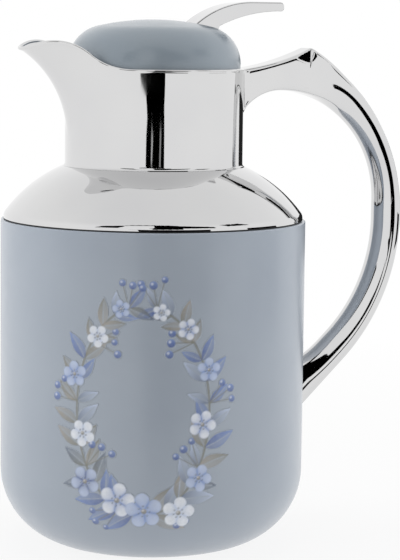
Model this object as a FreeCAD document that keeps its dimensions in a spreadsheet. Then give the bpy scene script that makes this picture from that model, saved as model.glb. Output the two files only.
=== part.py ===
import FreeCAD, Part
import Sketcher
import math
import os
from types import SimpleNamespace
from FreeCAD import Placement, Rotation, Vector

# Insulated pouring jug: painted body, bright shoulder, neck, spout and handle, dome stopper with a lever.
# Millimetres, +Z up, origin on the floor under the jug's axis, spout towards -X, handle towards +X.

DRIVING = {
    # Outline of the pot, stacked from the floor up
    "body_radius": 73.0,
    "body_height": 156.8,
    "corner_radius": 36.5,
    "shoulder_rise": 25.9,
    "shell_edge": 0.8,
    "shoulder_step": 1.4,
    "shoulder_bulge": 68.0,
    "shoulder_band": 2.0,
    "band_round": 4.0,
    "neck_radius": 42.5,
    "neck_height": 46.3,
    "sheet": 0.9,
    "neck_wall": 1.2,
    "foot_gap": 0.8,
    "seam_gap": 0.7,
    "seam_flange": 5.0,
    "seam_inset": 0.4,
    "skirt_depth": 7.0,
    "upstand_height": 7.3,
    # Spout and the shaped rim
    "spout_drop": 34.0,
    "spout_reach": 33.5,
    "spout_tip_radius": 8.0,
    "spout_root_radius": 20.0,
    "crest_out": 13.0,
    "crest_rise": 12.7,
    "rim_bend": 24.7,
    # Handle
    "handle_width": 18.0,
    "handle_span": 56.2,
    "handle_drop": 72.0,
    "grip_upper_bend": 90.0,
    "grip_lower_bend": 103.0,
    "grip_depth": 10.7,
    "foot_depth": 11.43,
    "peak_out": 35.5,
    "rest_bend": 100.0,
    "rest_step": 0.8,
    "arch_bend": 55.0,
    "inner_rise": 6.8,
    "inner_drop": 2.0,
    "root_flare": 3.5,
    "root_ease": 0.5,
    "root_overlap": 1.6,
    "foot_overlap": 7.0,
    "grip_round": 5.7,
    "grip_flat": 0.5,
    # Vacuum flask
    "flask_gap": 6.1,
    "flask_wall": 1.6,
    "flask_vacuum": 4.4,
    "flask_base": 12.0,
    "flask_bottom_bend": 28.0,
    "flask_neck_height": 22.7,
    "flask_throat": 5.0,
    "flask_mouth_radius": 22.0,
    "flask_lip_rise": 0.3,
    "flask_lip_width": 5.0,
    "flask_lip_height": 2.0,
    "pip_radius": 3.0,
    "pip_drop": 2.4,
    # Collar, seal and base
    "collar_rise": 14.3,
    "collar_floor": 2.0,
    "collar_hub": 2.6,
    "collar_skirt": 1.3,
    "seal_thickness": 1.5,
    "base_land": 3.5,
    "base_lip": 7.2,
    "base_rib": 2.4,
    "base_hook": 1.4,
    "base_plate": 3.0,
    "cap_recess": 0.6,
    "foot_seat": 1.0,
    "foot_inset": 6.5,
    "foot_width": 5.0,
    "foot_round": 0.6,
    "support_inset": 10.5,
    "cushion_overlap": 2.0,
    "cushion_width": 14.0,
    "cushion_height": 3.0,
    # Stopper
    "plug_clearance": 1.7,
    "plug_depth": 13.0,
    "plug_wall": 3.0,
    "stopper_step": 0.2,
    "groove_rise": 6.0,
    "groove_height": 4.0,
    "groove_depth": 2.0,
    "seat_radius": 8.0,
    "seat_thickness": 2.5,
    "web_drop": 18.5,
    "web_thickness": 2.5,
    "plate_drop": 2.5,
    "plate_thickness": 2.0,
    "guide_radius": 7.5,
    "window_width": 20.0,
    "window_margin": 1.0,
    "vent_radius": 2.5,
    # Dome
    "dome_gap": 0.3,
    "dome_side": 2.0,
    "dome_corner": 18.0,
    "crown_sag": 2.7,
    "dome_wall": 2.0,
    "lid_screw_inset": 10.9,
    "boss_wall": 2.0,
    "ear_length": 7.0,
    "ear_width": 3.0,
    "slot_back": 7.4,
    "slot_front": 7.0,
    "slot_rise": 3.0,
    "slot_gap": 0.6,
    # Lever and valve
    "lever_width": 18.0,
    "lever_overhang": 20.1,
    "lever_lift": 8.9,
    "lever_thickness": 4.4,
    "lever_crest": 22.5,
    "lever_bend": 44.3,
    "lever_root": 6.0,
    "lever_root_drop": 10.4,
    "lever_chin": 5.5,
    "lever_chin_drop": 7.4,
    "lever_under_bend": 70.0,
    "lever_tip_round": 2.0,
    "lever_under_round": 1.4,
    "lever_round": 0.6,
    "heel_length": 3.6,
    "heel_height": 4.0,
    "arm_back": 11.0,
    "arm_rise": 0.5,
    "nose_length": 13.0,
    "pivot_inset": 17.0,
    "pivot_drop": 11.7,
    "pin_radius": 1.5,
    "fork_drop": 1.0,
    "fork_round": 4.0,
    "fork_width": 3.0,
    "fork_slack": 1.5,
    "rod_radius": 3.0,
    "head_width": 2.5,
    "head_height": 3.0,
    "head_gap": 0.3,
    "valve_overlap": 3.0,
    "valve_thickness": 2.5,
    "valve_gasket": 1.5,
    "wire_radius": 0.5,
    "coil_radius": 5.5,
    "coil_turns": 7.0,
    # Screws and clearances
    "handle_screw_radius": 2.0,
    "handle_screw_head": 3.6,
    "upper_screw_drop": 7.5,
    "upper_screw_length": 11.0,
    "lower_screw_length": 7.5,
    "lid_screw_radius": 1.5,
    "lid_screw_head": 3.0,
    "lid_screw_length": 11.0,
    "screw_head_height": 2.2,
    "running_fit": 0.05,
    "press_fit": 0.1,
    "slide_gap": 0.4,
    "free_gap": 0.8,
}

doc = FreeCAD.newDocument("pouring_jug")
sheet = doc.addObject("Spreadsheet::Sheet", "sizes")


class Size:
    """A length with its value in mm and the sheet formula that gives it."""

    def __init__(self, value, formula):
        self.value = value
        self.formula = formula

    def combine(self, other, sign, value):
        return Size(value, f"({self.formula} {sign} {other.formula})")

    def __add__(self, other):
        other = as_size(other)
        return self.combine(other, "+", self.value + other.value)

    def __sub__(self, other):
        other = as_size(other)
        return self.combine(other, "-", self.value - other.value)

    def __mul__(self, other):
        other = as_size(other)
        return self.combine(other, "*", self.value * other.value)

    def __truediv__(self, other):
        other = as_size(other)
        return self.combine(other, "/", self.value / other.value)

    def __radd__(self, other):
        return as_size(other) + self

    def __rsub__(self, other):
        return as_size(other) - self

    def __rmul__(self, other):
        return as_size(other) * self

    def __neg__(self):
        return Size(-self.value, f"(0 - {self.formula})")


def as_size(number):
    if isinstance(number, Size):
        return number
    return Size(float(number), repr(number) if number >= 0 else f"(0 - {-number!r})")


def root(size):
    return Size(math.sqrt(size.value), f"sqrt({size.formula})")


def fill_sheet():
    """Write the driving dimensions into the sheet and return them as named sizes."""
    named = {}
    for row, (alias, value) in enumerate(DRIVING.items(), start=1):
        sheet.set(f"A{row}", alias)
        sheet.set(f"B{row}", str(value))
        sheet.setAlias(f"B{row}", alias)
        named[alias] = Size(value, f"sizes.{alias}")
    doc.recompute()
    return SimpleNamespace(**named)


dim = fill_sheet()


# Document helpers

def bind(thing, path, size):
    thing.setExpression(path, as_size(size).formula)


def new_body(label):
    body = doc.addObject("PartDesign::Body", label)
    body.Label = label
    body.Placement = Placement()
    return body


def new_sketch(body, name, role, offset=None):
    """Make a sketch on one of the body's own origin planes, moved along the normal by offset."""
    sketch = body.newObject("Sketcher::SketchObject", f"{body.Label}_{name}")
    plane = next(item for item in body.Origin.OriginFeatures if item.Role == role)
    sketch.AttachmentSupport = (plane, [""])
    sketch.MapMode = "FlatFace"
    if offset is not None:
        bind(sketch, "AttachmentOffset.Base.z", offset)
    return sketch


def place_point(rules, formulas, edge, end, x, y):
    """Fix one end of an edge at x, y from the sketch origin."""
    for kind, axis, size in (("DistanceX", -2, as_size(x)), ("DistanceY", -1, as_size(y))):
        if size.formula == "0":
            rules.append(Sketcher.Constraint("PointOnObject", edge, end, axis))
        else:
            formulas[len(rules)] = size.formula
            rules.append(Sketcher.Constraint(kind, -1, 1, edge, end, size.value))


def add_rules(sketch, rules, formulas):
    numbers = sketch.addConstraint(rules)
    for position, formula in formulas.items():
        sketch.setExpression(f"Constraints[{numbers[position]}]", formula)


def flat(x, y):
    return Vector(as_size(x).value, as_size(y).value, 0)


def arc_between(start, end, radius, turn):
    """Arc of up to half a circle from start to end, bending left (turn 1) or right (turn -1)."""
    chord = end - start
    rise = math.sqrt(max(radius ** 2 - (chord.Length / 2) ** 2, 0))
    left = Vector(-chord.y, chord.x, 0).normalize()
    centre = (start + end) / 2 + left * rise * turn
    first, last = (start, end) if turn > 0 else (end, start)
    angles = [math.atan2(point.y - centre.y, point.x - centre.x) for point in (first, last)]
    if angles[1] <= angles[0]:
        angles[1] += 2 * math.pi
    return Part.ArcOfCircle(Part.Circle(centre, Vector(0, 0, 1), radius), *angles)


def draw_outline(sketch, corners):
    """Draw a closed outline. A corner is (x, y), or (x, y, radius, turn) when an arc leads to it."""
    rules = []
    formulas = {}
    ends = []
    first_edge = sketch.GeometryCount
    following = corners[1:] + corners[:1]
    for start, end in zip(corners, following):
        edge = sketch.GeometryCount
        if len(end) == 2:
            sketch.addGeometry(Part.LineSegment(flat(*start[:2]), flat(*end)))
            ends.append((1, 2))
        else:
            radius = as_size(end[2])
            turn = end[3]
            sketch.addGeometry(arc_between(flat(*start[:2]), flat(*end[:2]), radius.value, turn))
            ends.append((1, 2) if turn > 0 else (2, 1))
            formulas[len(rules)] = radius.formula
            rules.append(Sketcher.Constraint("Radius", edge, radius.value))
        place_point(rules, formulas, edge, ends[-1][0], *start[:2])
    count = len(corners)
    for number in range(count):
        after = (number + 1) % count
        rules.append(Sketcher.Constraint("Coincident", first_edge + number, ends[number][1],
                                         first_edge + after, ends[after][0]))
    add_rules(sketch, rules, formulas)


def draw_circle(sketch, x, y, radius):
    rules = []
    formulas = {}
    edge = sketch.GeometryCount
    radius = as_size(radius)
    sketch.addGeometry(Part.Circle(flat(x, y), Vector(0, 0, 1), radius.value))
    formulas[0] = radius.formula
    rules.append(Sketcher.Constraint("Radius", edge, radius.value))
    place_point(rules, formulas, edge, 3, x, y)
    add_rules(sketch, rules, formulas)


def draw_box(sketch, low_x, low_y, high_x, high_y):
    draw_outline(sketch, [(low_x, low_y), (high_x, low_y), (high_x, high_y), (low_x, high_y)])


def revolve(body, corners):
    """Turn a closed outline in the XZ plane about Z."""
    sketch = new_sketch(body, "profile", "XZ_Plane")
    draw_outline(sketch, corners)
    feature = body.newObject("PartDesign::Revolution", f"{body.Label}_turned")
    feature.Profile = sketch
    feature.ReferenceAxis = (sketch, ["V_Axis"])
    feature.Angle = 360
    return feature


def extrude(body, kind, sketch, length=None, stop=None, symmetric=False, backwards=False):
    """Pad or pocket a sketch by a bound length or up to a named stop."""
    feature = body.newObject(f"PartDesign::{kind}", f"{sketch.Name}_{kind.lower()}")
    feature.Profile = sketch
    feature.Type = stop or "Length"
    feature.SideType = "Symmetric" if symmetric else "One side"
    feature.Reversed = backwards
    if length is not None:
        bind(feature, "Length", length)
    return feature


def round_edges(body, base, edges, radius):
    """Fillet the edges of base that the test picks by their middle points."""
    doc.recompute()
    names = []
    for number, edge in enumerate(base.Shape.Edges, start=1):
        middle = edge.valueAt((edge.FirstParameter + edge.LastParameter) / 2)
        if edges(edge, middle):
            names.append(f"Edge{number}")
    feature = body.newObject("PartDesign::Fillet", f"{base.Name}_round")
    feature.Base = (base, names)
    bind(feature, "Radius", radius)
    return feature


def cylinder(name, radius, height, x, y, z, along_x=False):
    rod = doc.addObject("Part::Cylinder", name)
    rotation = Rotation(Vector(0, 1, 0), 90) if along_x else Rotation()
    rod.Placement = Placement(Vector(), rotation)
    bind(rod, "Radius", radius)
    bind(rod, "Height", height)
    for axis, size in zip("xyz", (x, y, z)):
        bind(rod, f"Placement.Base.{axis}", size)
    return rod


def join(label, shapes):
    joined = doc.addObject("Part::MultiFuse", label)
    joined.Label = label
    joined.Shapes = shapes
    return joined


# Sizes worked out from the driving ones

seam_height = dim.body_height
gasket_top = seam_height + dim.seam_gap
crease_height = seam_height + dim.shoulder_rise
rim_height = crease_height + dim.neck_height
shell_bottom = dim.foot_gap
shell_bore = dim.body_radius - dim.sheet
shell_flange = dim.body_radius - dim.seam_flange
shell_flat = dim.body_radius - dim.corner_radius
base_opening = shell_flat - dim.base_land
base_lip_top = shell_bottom + dim.base_lip
shoulder_foot = dim.body_radius - dim.shoulder_step
neck_bore = dim.neck_radius - dim.neck_wall
upstand_top = crease_height + dim.upstand_height
collar_floor = crease_height + dim.collar_rise
collar_top = collar_floor + dim.collar_floor
lip_top = crease_height + dim.flask_lip_rise
seal_top = lip_top + dim.seal_thickness
flask_radius = shell_bore - dim.flask_gap
plug_radius = dim.flask_mouth_radius - dim.plug_clearance
plug_bottom = lip_top - dim.plug_depth
stopper_radius = dim.flask_mouth_radius + dim.stopper_step
chamber_radius = plug_radius - dim.plug_wall
groove_bottom = plug_bottom + dim.groove_rise
groove_top = groove_bottom + dim.groove_height
seat_top = plug_bottom + dim.seat_thickness
disc_bottom = seat_top + dim.valve_gasket
disc_top = disc_bottom + dim.valve_thickness
valve_radius = dim.seat_radius + dim.valve_overlap
plate_bottom = rim_height - dim.plate_drop
plate_top = plate_bottom + dim.plate_thickness
web_bottom = plate_bottom - dim.web_drop
dome_radius = neck_bore - dim.dome_gap
dome_bore = dome_radius - dim.dome_wall
plate_radius = dome_bore - dim.press_fit
dome_skirt = rim_height - dim.dome_side
dome_side_top = rim_height + dim.dome_side
dome_top = dome_side_top + dim.dome_corner + dim.crown_sag
pivot_x = dome_radius - dim.pivot_inset
pivot_z = dome_top - dim.pivot_drop
fork_top = pivot_z - dim.fork_drop
head_radius = dim.rod_radius + dim.head_width
head_bottom = fork_top + dim.head_gap
upper_screw_z = rim_height - dim.upper_screw_drop
screw_bore = dim.handle_screw_radius + dim.running_fit
lid_screw_bore = dim.lid_screw_radius + dim.running_fit
handle_reach = dim.body_radius + dim.handle_span
handle_mid = rim_height - dim.handle_drop
DIAGONAL = math.sqrt(0.5)
NEAR = 0.01


# Pot: shell, shoulder and neck

def make_body_shell():
    body = new_body("body_shell")
    corner_top = shell_bottom + dim.corner_radius
    lip_outer = base_opening + dim.sheet
    floor_top = shell_bottom + dim.sheet
    revolve(body, [
        (base_opening, shell_bottom),
        (shell_flat, shell_bottom),
        (dim.body_radius, corner_top, dim.corner_radius, 1),
        (dim.body_radius, seam_height - dim.shell_edge),
        (dim.body_radius - dim.shell_edge, seam_height, dim.shell_edge, 1),
        (shell_flange, seam_height),
        (shell_flange, seam_height - dim.sheet),
        (shell_bore, seam_height - dim.sheet),
        (shell_bore, corner_top),
        (shell_flat, floor_top, dim.corner_radius - dim.sheet, -1),
        (lip_outer, floor_top),
        (lip_outer, base_lip_top),
        (base_opening, base_lip_top),
    ])
    hole = new_sketch(body, "screw_hole", "YZ_Plane")
    draw_circle(hole, 0, handle_foot().screw_z, screw_bore)
    extrude(body, "Pocket", hole, stop="ThroughAll", backwards=True)


def make_seam_gasket():
    body = new_body("seam_gasket")
    outer = shoulder_foot - dim.seam_inset
    revolve(body, [
        (shell_flange, seam_height),
        (outer, seam_height),
        (outer, gasket_top),
        (shell_flange, gasket_top),
    ])


def make_shoulder():
    body = new_body("shoulder")
    skirt_outer = shell_flange - dim.press_fit
    skirt_inner = skirt_outer - dim.sheet
    skirt_bottom = seam_height - dim.skirt_depth
    upstand_outer = neck_bore - dim.press_fit
    upstand_inner = upstand_outer - dim.sheet
    flange_top = gasket_top + dim.sheet
    band_top = gasket_top + dim.shoulder_band
    dome = revolve(body, [
        (shoulder_foot, gasket_top),
        (shoulder_foot, band_top),
        (dim.neck_radius, crease_height, dim.shoulder_bulge, 1),
        (upstand_outer, crease_height),
        (upstand_outer, upstand_top),
        (upstand_inner, upstand_top),
        (upstand_inner, crease_height - dim.sheet),
        (shoulder_foot - dim.sheet, band_top, dim.shoulder_bulge - dim.sheet, -1),
        (shoulder_foot - dim.sheet, flange_top),
        (skirt_inner, flange_top),
        (skirt_inner, skirt_bottom),
        (skirt_outer, skirt_bottom),
        (skirt_outer, gasket_top),
    ])

    def is_band_edge(edge, middle):
        off_circle = math.hypot(middle.x, middle.y) - shoulder_foot.value
        return abs(middle.z - band_top.value) < NEAR and abs(off_circle) < NEAR

    round_edges(body, dome, is_band_edge, dim.band_round)


def draw_spout_section(sketch, neck, tip, tip_centre):
    """Neck circle and tip circle joined by their two outer tangent lines."""
    lean = math.acos((neck.value - tip.value) / tip_centre.value)
    centre = Vector(-tip_centre.value, 0, 0)
    upper = Vector(-math.cos(lean), math.sin(lean), 0)
    lower = Vector(-math.cos(lean), -math.sin(lean), 0)
    axis = Vector(0, 0, 1)
    back = Part.ArcOfCircle(Part.Circle(Vector(), axis, neck.value), lean - math.pi, math.pi - lean)
    front = Part.ArcOfCircle(Part.Circle(centre, axis, tip.value), math.pi - lean, math.pi + lean)
    sketch.addGeometry([
        back,
        Part.LineSegment(upper * neck.value, centre + upper * tip.value),
        front,
        Part.LineSegment(centre + lower * tip.value, lower * neck.value),
    ])
    rules = [
        Sketcher.Constraint("Coincident", 0, 3, -1, 1),
        Sketcher.Constraint("PointOnObject", 2, 3, -1),
        Sketcher.Constraint("Radius", 0, neck.value),
        Sketcher.Constraint("Radius", 2, tip.value),
        Sketcher.Constraint("DistanceX", 2, 3, -1, 1, tip_centre.value),
    ]
    for edge in range(4):
        rules.append(Sketcher.Constraint("Tangent", edge, 2, (edge + 1) % 4, 1))
    add_rules(sketch, rules, {2: neck.formula, 3: tip.formula, 4: tip_centre.formula})


SPOUT_STAGES = (0, 0.3, 0.57, 0.8, 1)
SPOUT_START = 0.02
RIM_SPARE = 0.5


def loft_spout(body, kind, name, inset):
    """Loft the neck's front from a plain circle low down to the flared spout above the rim."""
    climb = dim.spout_drop + dim.crest_rise + RIM_SPARE
    flare = (dim.spout_reach * dim.spout_reach + climb * climb) / (2 * dim.spout_reach)
    foot = rim_height - dim.spout_drop
    sections = []
    for number, stage in enumerate(SPOUT_STAGES):
        height = climb * stage
        reach = flare - root(flare * flare - height * height) + SPOUT_START
        tip = dim.spout_root_radius - (dim.spout_root_radius - dim.spout_tip_radius) * stage
        sketch = new_sketch(body, f"{name}_{number}", "XY_Plane", foot + height)
        draw_spout_section(sketch, dim.neck_radius - inset, tip - inset, dim.neck_radius + reach - tip)
        sections.append(sketch)
    loft = body.newObject(f"PartDesign::{kind}", f"{body.Label}_{name}")
    loft.Profile = sections[0]
    loft.Sections = sections[1:]
    loft.Ruled = False
    return loft


def make_pouring_neck():
    body = new_body("pouring_neck")
    straight = dim.neck_height - dim.spout_drop
    foot = new_sketch(body, "foot", "XY_Plane", crease_height)
    draw_circle(foot, 0, 0, dim.neck_radius)
    extrude(body, "Pad", foot, straight)
    loft_spout(body, "AdditiveLoft", "outside", as_size(0))
    bore = new_sketch(body, "bore", "XY_Plane", crease_height)
    draw_circle(bore, 0, 0, neck_bore)
    extrude(body, "Pocket", bore, straight, backwards=True)
    loft_spout(body, "SubtractiveLoft", "inside", dim.neck_wall)

    # Rim seen from the side: level behind, rising in two equal bends to the crest over the spout
    run = root(dim.crest_rise * (4 * dim.rim_bend - dim.crest_rise))
    crest_x = -dim.neck_radius - dim.crest_out
    halfway = rim_height + dim.crest_rise / 2
    above = rim_height + 2 * dim.crest_rise
    front = crest_x - run
    behind = 2 * dim.neck_radius
    rim = new_sketch(body, "rim", "XZ_Plane")
    draw_outline(rim, [
        (behind, rim_height),
        (crest_x + run, rim_height),
        (crest_x + run / 2, halfway, dim.rim_bend, -1),
        (crest_x - run / 2, halfway, dim.rim_bend, 1),
        (front, halfway),
        (front, above),
        (behind, above),
    ])
    extrude(body, "Pocket", rim, stop="ThroughAll", symmetric=True)
    hole = new_sketch(body, "screw_hole", "YZ_Plane")
    draw_circle(hole, 0, upper_screw_z, screw_bore)
    extrude(body, "Pocket", hole, stop="ThroughAll", backwards=True)


def make_inner_collar():
    body = new_body("inner_collar")
    hub_bore = stopper_radius + dim.slide_gap
    hub = hub_bore + dim.collar_hub
    skirt = neck_bore - dim.press_fit
    skirt_bore = skirt - dim.collar_skirt
    revolve(body, [
        (hub_bore, seal_top),
        (hub, seal_top),
        (hub, collar_floor),
        (skirt_bore, collar_floor),
        (skirt_bore, upstand_top),
        (skirt, upstand_top),
        (skirt, collar_top),
        (hub_bore, collar_top),
    ])


def make_neck_seal():
    body = new_body("neck_seal")
    inner = dim.flask_mouth_radius + dim.slide_gap
    outer = dim.flask_mouth_radius + dim.flask_lip_width
    revolve(body, [(inner, lip_top), (outer, lip_top), (outer, seal_top), (inner, seal_top)])


# Vacuum flask

def make_flask_walls():
    wall = dim.flask_wall
    bend = dim.flask_bottom_bend
    lip_bottom = lip_top - dim.flask_lip_height
    neck_outer = dim.flask_mouth_radius + dim.flask_lip_width
    throat = dim.flask_throat
    waist = neck_outer + throat
    shoulder_bend = flask_radius - waist
    shoulder_top = crease_height - dim.flask_neck_height
    straight_top = shoulder_top - shoulder_bend
    flat_radius = flask_radius - bend
    corner_top = dim.flask_base + bend

    # The outer wall ends below in the sealed pip of the glass
    outer = new_body("flask_outer_wall")
    revolve(outer, [
        (0, dim.flask_base - dim.pip_drop),
        (dim.pip_radius, dim.flask_base),
        (flat_radius, dim.flask_base),
        (flask_radius, corner_top, bend, 1),
        (flask_radius, straight_top),
        (waist, shoulder_top, shoulder_bend, 1),
        (neck_outer, shoulder_top + throat, throat, -1),
        (neck_outer, lip_bottom),
        (neck_outer - wall, lip_bottom),
        (neck_outer - wall, shoulder_top + throat),
        (waist, shoulder_top - wall, throat + wall, 1),
        (flask_radius - wall, straight_top, shoulder_bend - wall, -1),
        (flask_radius - wall, corner_top),
        (flat_radius, dim.flask_base + wall, bend - wall, -1),
        (0, dim.flask_base + wall),
    ])

    inset = wall + dim.flask_vacuum
    mouth_outer = dim.flask_mouth_radius + wall
    inner_throat = waist - mouth_outer
    crown = shoulder_top - inset
    inner_bend = shoulder_bend - inset
    floor = dim.flask_base + inset
    inner = new_body("flask_inner_wall")
    revolve(inner, [
        (0, floor),
        (flat_radius, floor),
        (flask_radius - inset, corner_top, bend - inset, 1),
        (flask_radius - inset, straight_top),
        (waist, crown, inner_bend, 1),
        (mouth_outer, crown + inner_throat, inner_throat, -1),
        (mouth_outer, lip_bottom),
        (neck_outer, lip_bottom),
        (neck_outer, lip_top),
        (dim.flask_mouth_radius, lip_top),
        (dim.flask_mouth_radius, crown + inner_throat),
        (waist, crown - wall, inner_throat + wall, 1),
        (flask_radius - inset - wall, straight_top, inner_bend - wall, -1),
        (flask_radius - inset - wall, corner_top),
        (flat_radius, floor + wall, bend - inset - wall, -1),
        (0, floor + wall),
    ])


# Base

def make_base_pieces():
    foot_radius = base_opening - dim.foot_inset
    foot_inner = foot_radius - dim.foot_width / 2
    foot_outer = foot_radius + dim.foot_width / 2
    cap_bottom = shell_bottom + dim.cap_recess
    seat_roof = cap_bottom + dim.foot_seat
    plate = cap_bottom + dim.base_plate
    cap_radius = base_opening - 2 * dim.press_fit
    cap_bore = cap_radius - dim.base_rib
    hook = base_opening + dim.base_hook
    hook_top = base_lip_top + dim.base_hook
    cushion_bottom = dim.flask_base - dim.cushion_height
    support = foot_radius - dim.support_inset
    support_outer = support + dim.base_rib

    cap = new_body("base_cap")
    revolve(cap, [
        (0, cap_bottom),
        (foot_inner, cap_bottom),
        (foot_inner, seat_roof),
        (foot_outer, seat_roof),
        (foot_outer, cap_bottom),
        (cap_radius, cap_bottom),
        (cap_radius, base_lip_top),
        (hook, base_lip_top),
        (hook, hook_top),
        (cap_bore, hook_top),
        (cap_bore, plate),
        (support_outer, plate),
        (support_outer, cushion_bottom),
        (support, cushion_bottom),
        (support, plate),
        (0, plate),
    ])

    foot = new_body("foot_ring")
    revolve(foot, [
        (foot_inner + dim.foot_round, 0),
        (foot_outer - dim.foot_round, 0),
        (foot_outer, dim.foot_round, dim.foot_round, 1),
        (foot_outer, seat_roof),
        (foot_inner, seat_roof),
        (foot_inner, dim.foot_round),
    ])

    cushion = new_body("liner_cushion")
    cushion_inner = support - dim.cushion_overlap
    cushion_outer = cushion_inner + dim.cushion_width
    revolve(cushion, [
        (cushion_inner, cushion_bottom),
        (cushion_outer, cushion_bottom),
        (cushion_outer, dim.flask_base),
        (cushion_inner, dim.flask_base),
    ])


# Handle

def handle_foot():
    """Where the handle's lower end runs at 45 degrees into the shell: its two edges and its screw."""
    steep = math.sqrt(2) - 1
    outer_drop = handle_mid - handle_reach - dim.grip_lower_bend * steep
    inner_drop = outer_drop + dim.foot_depth * math.sqrt(2)
    screw_z = dim.body_radius + dim.lower_screw_length / 2 + (outer_drop + inner_drop) / 2
    return SimpleNamespace(steep=steep, outer_drop=outer_drop, inner_drop=inner_drop, screw_z=screw_z)


def make_handle():
    body = new_body("handle")
    foot = handle_foot()
    half = dim.handle_width / 2
    wide = half + dim.root_flare
    flare_x = root(dim.neck_radius * dim.neck_radius - wide * wide)
    root_x = flare_x - dim.root_overlap
    foot_x = dim.body_radius - dim.foot_overlap
    peak_x = dim.neck_radius + dim.peak_out
    upper_centre = handle_reach - dim.grip_upper_bend
    peak_offset = peak_x - upper_centre
    peak_z = handle_mid + root(dim.grip_upper_bend * dim.grip_upper_bend - peak_offset * peak_offset)
    lower_x = handle_reach - dim.grip_lower_bend * (1 - DIAGONAL)
    inner_x = handle_reach - dim.grip_depth
    arch_x = inner_x - dim.arch_bend
    inner_high = handle_mid + dim.inner_rise
    arch_z = inner_high + dim.arch_bend
    inner_low = handle_mid - dim.inner_drop
    inner_bend = (inner_low - inner_x - foot.inner_drop) / foot.steep
    bend_x = inner_x - inner_bend * (1 - DIAGONAL)
    reach = arch_x - root_x
    root_bend = reach + dim.root_ease
    arch_root = arch_z - root_bend + root(root_bend * root_bend - reach * reach)
    side = new_sketch(body, "side", "XZ_Plane")
    draw_outline(side, [
        (root_x, rim_height - dim.rest_step),
        (peak_x, peak_z, dim.rest_bend, 1),
        (handle_reach, handle_mid, dim.grip_upper_bend, -1),
        (lower_x, lower_x + foot.outer_drop, dim.grip_lower_bend, -1),
        (foot_x, foot_x + foot.outer_drop),
        (foot_x, foot_x + foot.inner_drop),
        (bend_x, bend_x + foot.inner_drop),
        (inner_x, inner_low, inner_bend, 1),
        (inner_x, inner_high),
        (arch_x, arch_z, dim.arch_bend, 1),
        (root_x, arch_root, root_bend, 1),
    ])
    extrude(body, "Pad", side, 2 * wide, symmetric=True)

    # Seen from above, the arm widens in two hollow curves where it meets the neck
    sides = new_sketch(body, "sides", "XY_Plane")
    beyond = handle_reach + dim.handle_width
    outside = wide + dim.root_flare
    for hand in (1, -1):
        draw_outline(sides, [
            (flare_x, outside * hand),
            (flare_x, wide * hand),
            (flare_x + dim.root_flare, half * hand, dim.root_flare, hand),
            (beyond, half * hand),
            (beyond, outside * hand),
        ])
    bar = extrude(body, "Pocket", sides, stop="ThroughAll", backwards=True)

    def on_arc(middle, centre_x, centre_z, bend):
        off = math.hypot(middle.x - centre_x.value, middle.z - centre_z.value) - bend.value
        return abs(off) < NEAR

    def on_diagonal(middle, drop):
        return abs(middle.z - middle.x - drop.value) < NEAR

    def on_side(edge, middle):
        level = abs(edge.tangentAt(edge.FirstParameter).y) < NEAR
        return level and abs(abs(middle.y) - half.value) < NEAR

    def is_grip(edge, middle):
        return on_side(edge, middle) and (
            on_arc(middle, upper_centre, handle_mid, dim.grip_upper_bend)
            or on_arc(middle, handle_reach - dim.grip_lower_bend, handle_mid, dim.grip_lower_bend)
            or on_diagonal(middle, foot.outer_drop))

    def is_inner(edge, middle):
        return on_side(edge, middle) and (
            on_arc(middle, arch_x, arch_z - root_bend, root_bend)
            or on_arc(middle, arch_x, inner_high, dim.arch_bend)
            or abs(middle.x - inner_x.value) < NEAR
            or on_arc(middle, inner_x - inner_bend, inner_low, inner_bend)
            or on_diagonal(middle, foot.inner_drop))

    grip = round_edges(body, bar, is_grip, dim.grip_round)
    round_edges(body, grip, is_inner, dim.grip_depth - dim.grip_round - dim.grip_flat)

    neck_cut = new_sketch(body, "neck_cut", "XY_Plane", crease_height)
    draw_circle(neck_cut, 0, 0, dim.neck_radius)
    extrude(body, "Pocket", neck_cut, dim.neck_height, backwards=True)
    shell_cut = new_sketch(body, "shell_cut", "XY_Plane")
    draw_circle(shell_cut, 0, 0, dim.body_radius)
    extrude(body, "Pocket", shell_cut, seam_height, backwards=True)

    spare = dim.handle_screw_radius
    for name, height, start, depth in (
            ("upper_bore", upper_screw_z, neck_bore, dim.upper_screw_length),
            ("lower_bore", foot.screw_z, shell_bore, dim.lower_screw_length)):
        bore = new_sketch(body, name, "YZ_Plane", start)
        draw_circle(bore, 0, height, screw_bore)
        extrude(body, "Pocket", bore, depth + spare, backwards=True)


def make_handle_screws():
    pieces = []
    head = dim.screw_head_height
    for name, height, bore, length in (
            ("upper", upper_screw_z, neck_bore, dim.upper_screw_length),
            ("lower", handle_foot().screw_z, shell_bore, dim.lower_screw_length)):
        seat = bore - 2 * dim.press_fit
        pieces.append(cylinder(f"{name}_head", dim.handle_screw_head, head, seat - head, 0, height, True))
        pieces.append(cylinder(f"{name}_shank", dim.handle_screw_radius, length, seat, 0, height, True))
    join("handle_screws", pieces)


# Stopper

def make_stopper_gasket():
    body = new_body("stopper_gasket")
    inner = plug_radius - dim.groove_depth + dim.running_fit
    outer = dim.flask_mouth_radius - dim.press_fit
    low = groove_bottom + dim.running_fit
    high = groove_top - dim.running_fit
    revolve(body, [(inner, low), (outer, low), (outer, high), (inner, high)])


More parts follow.
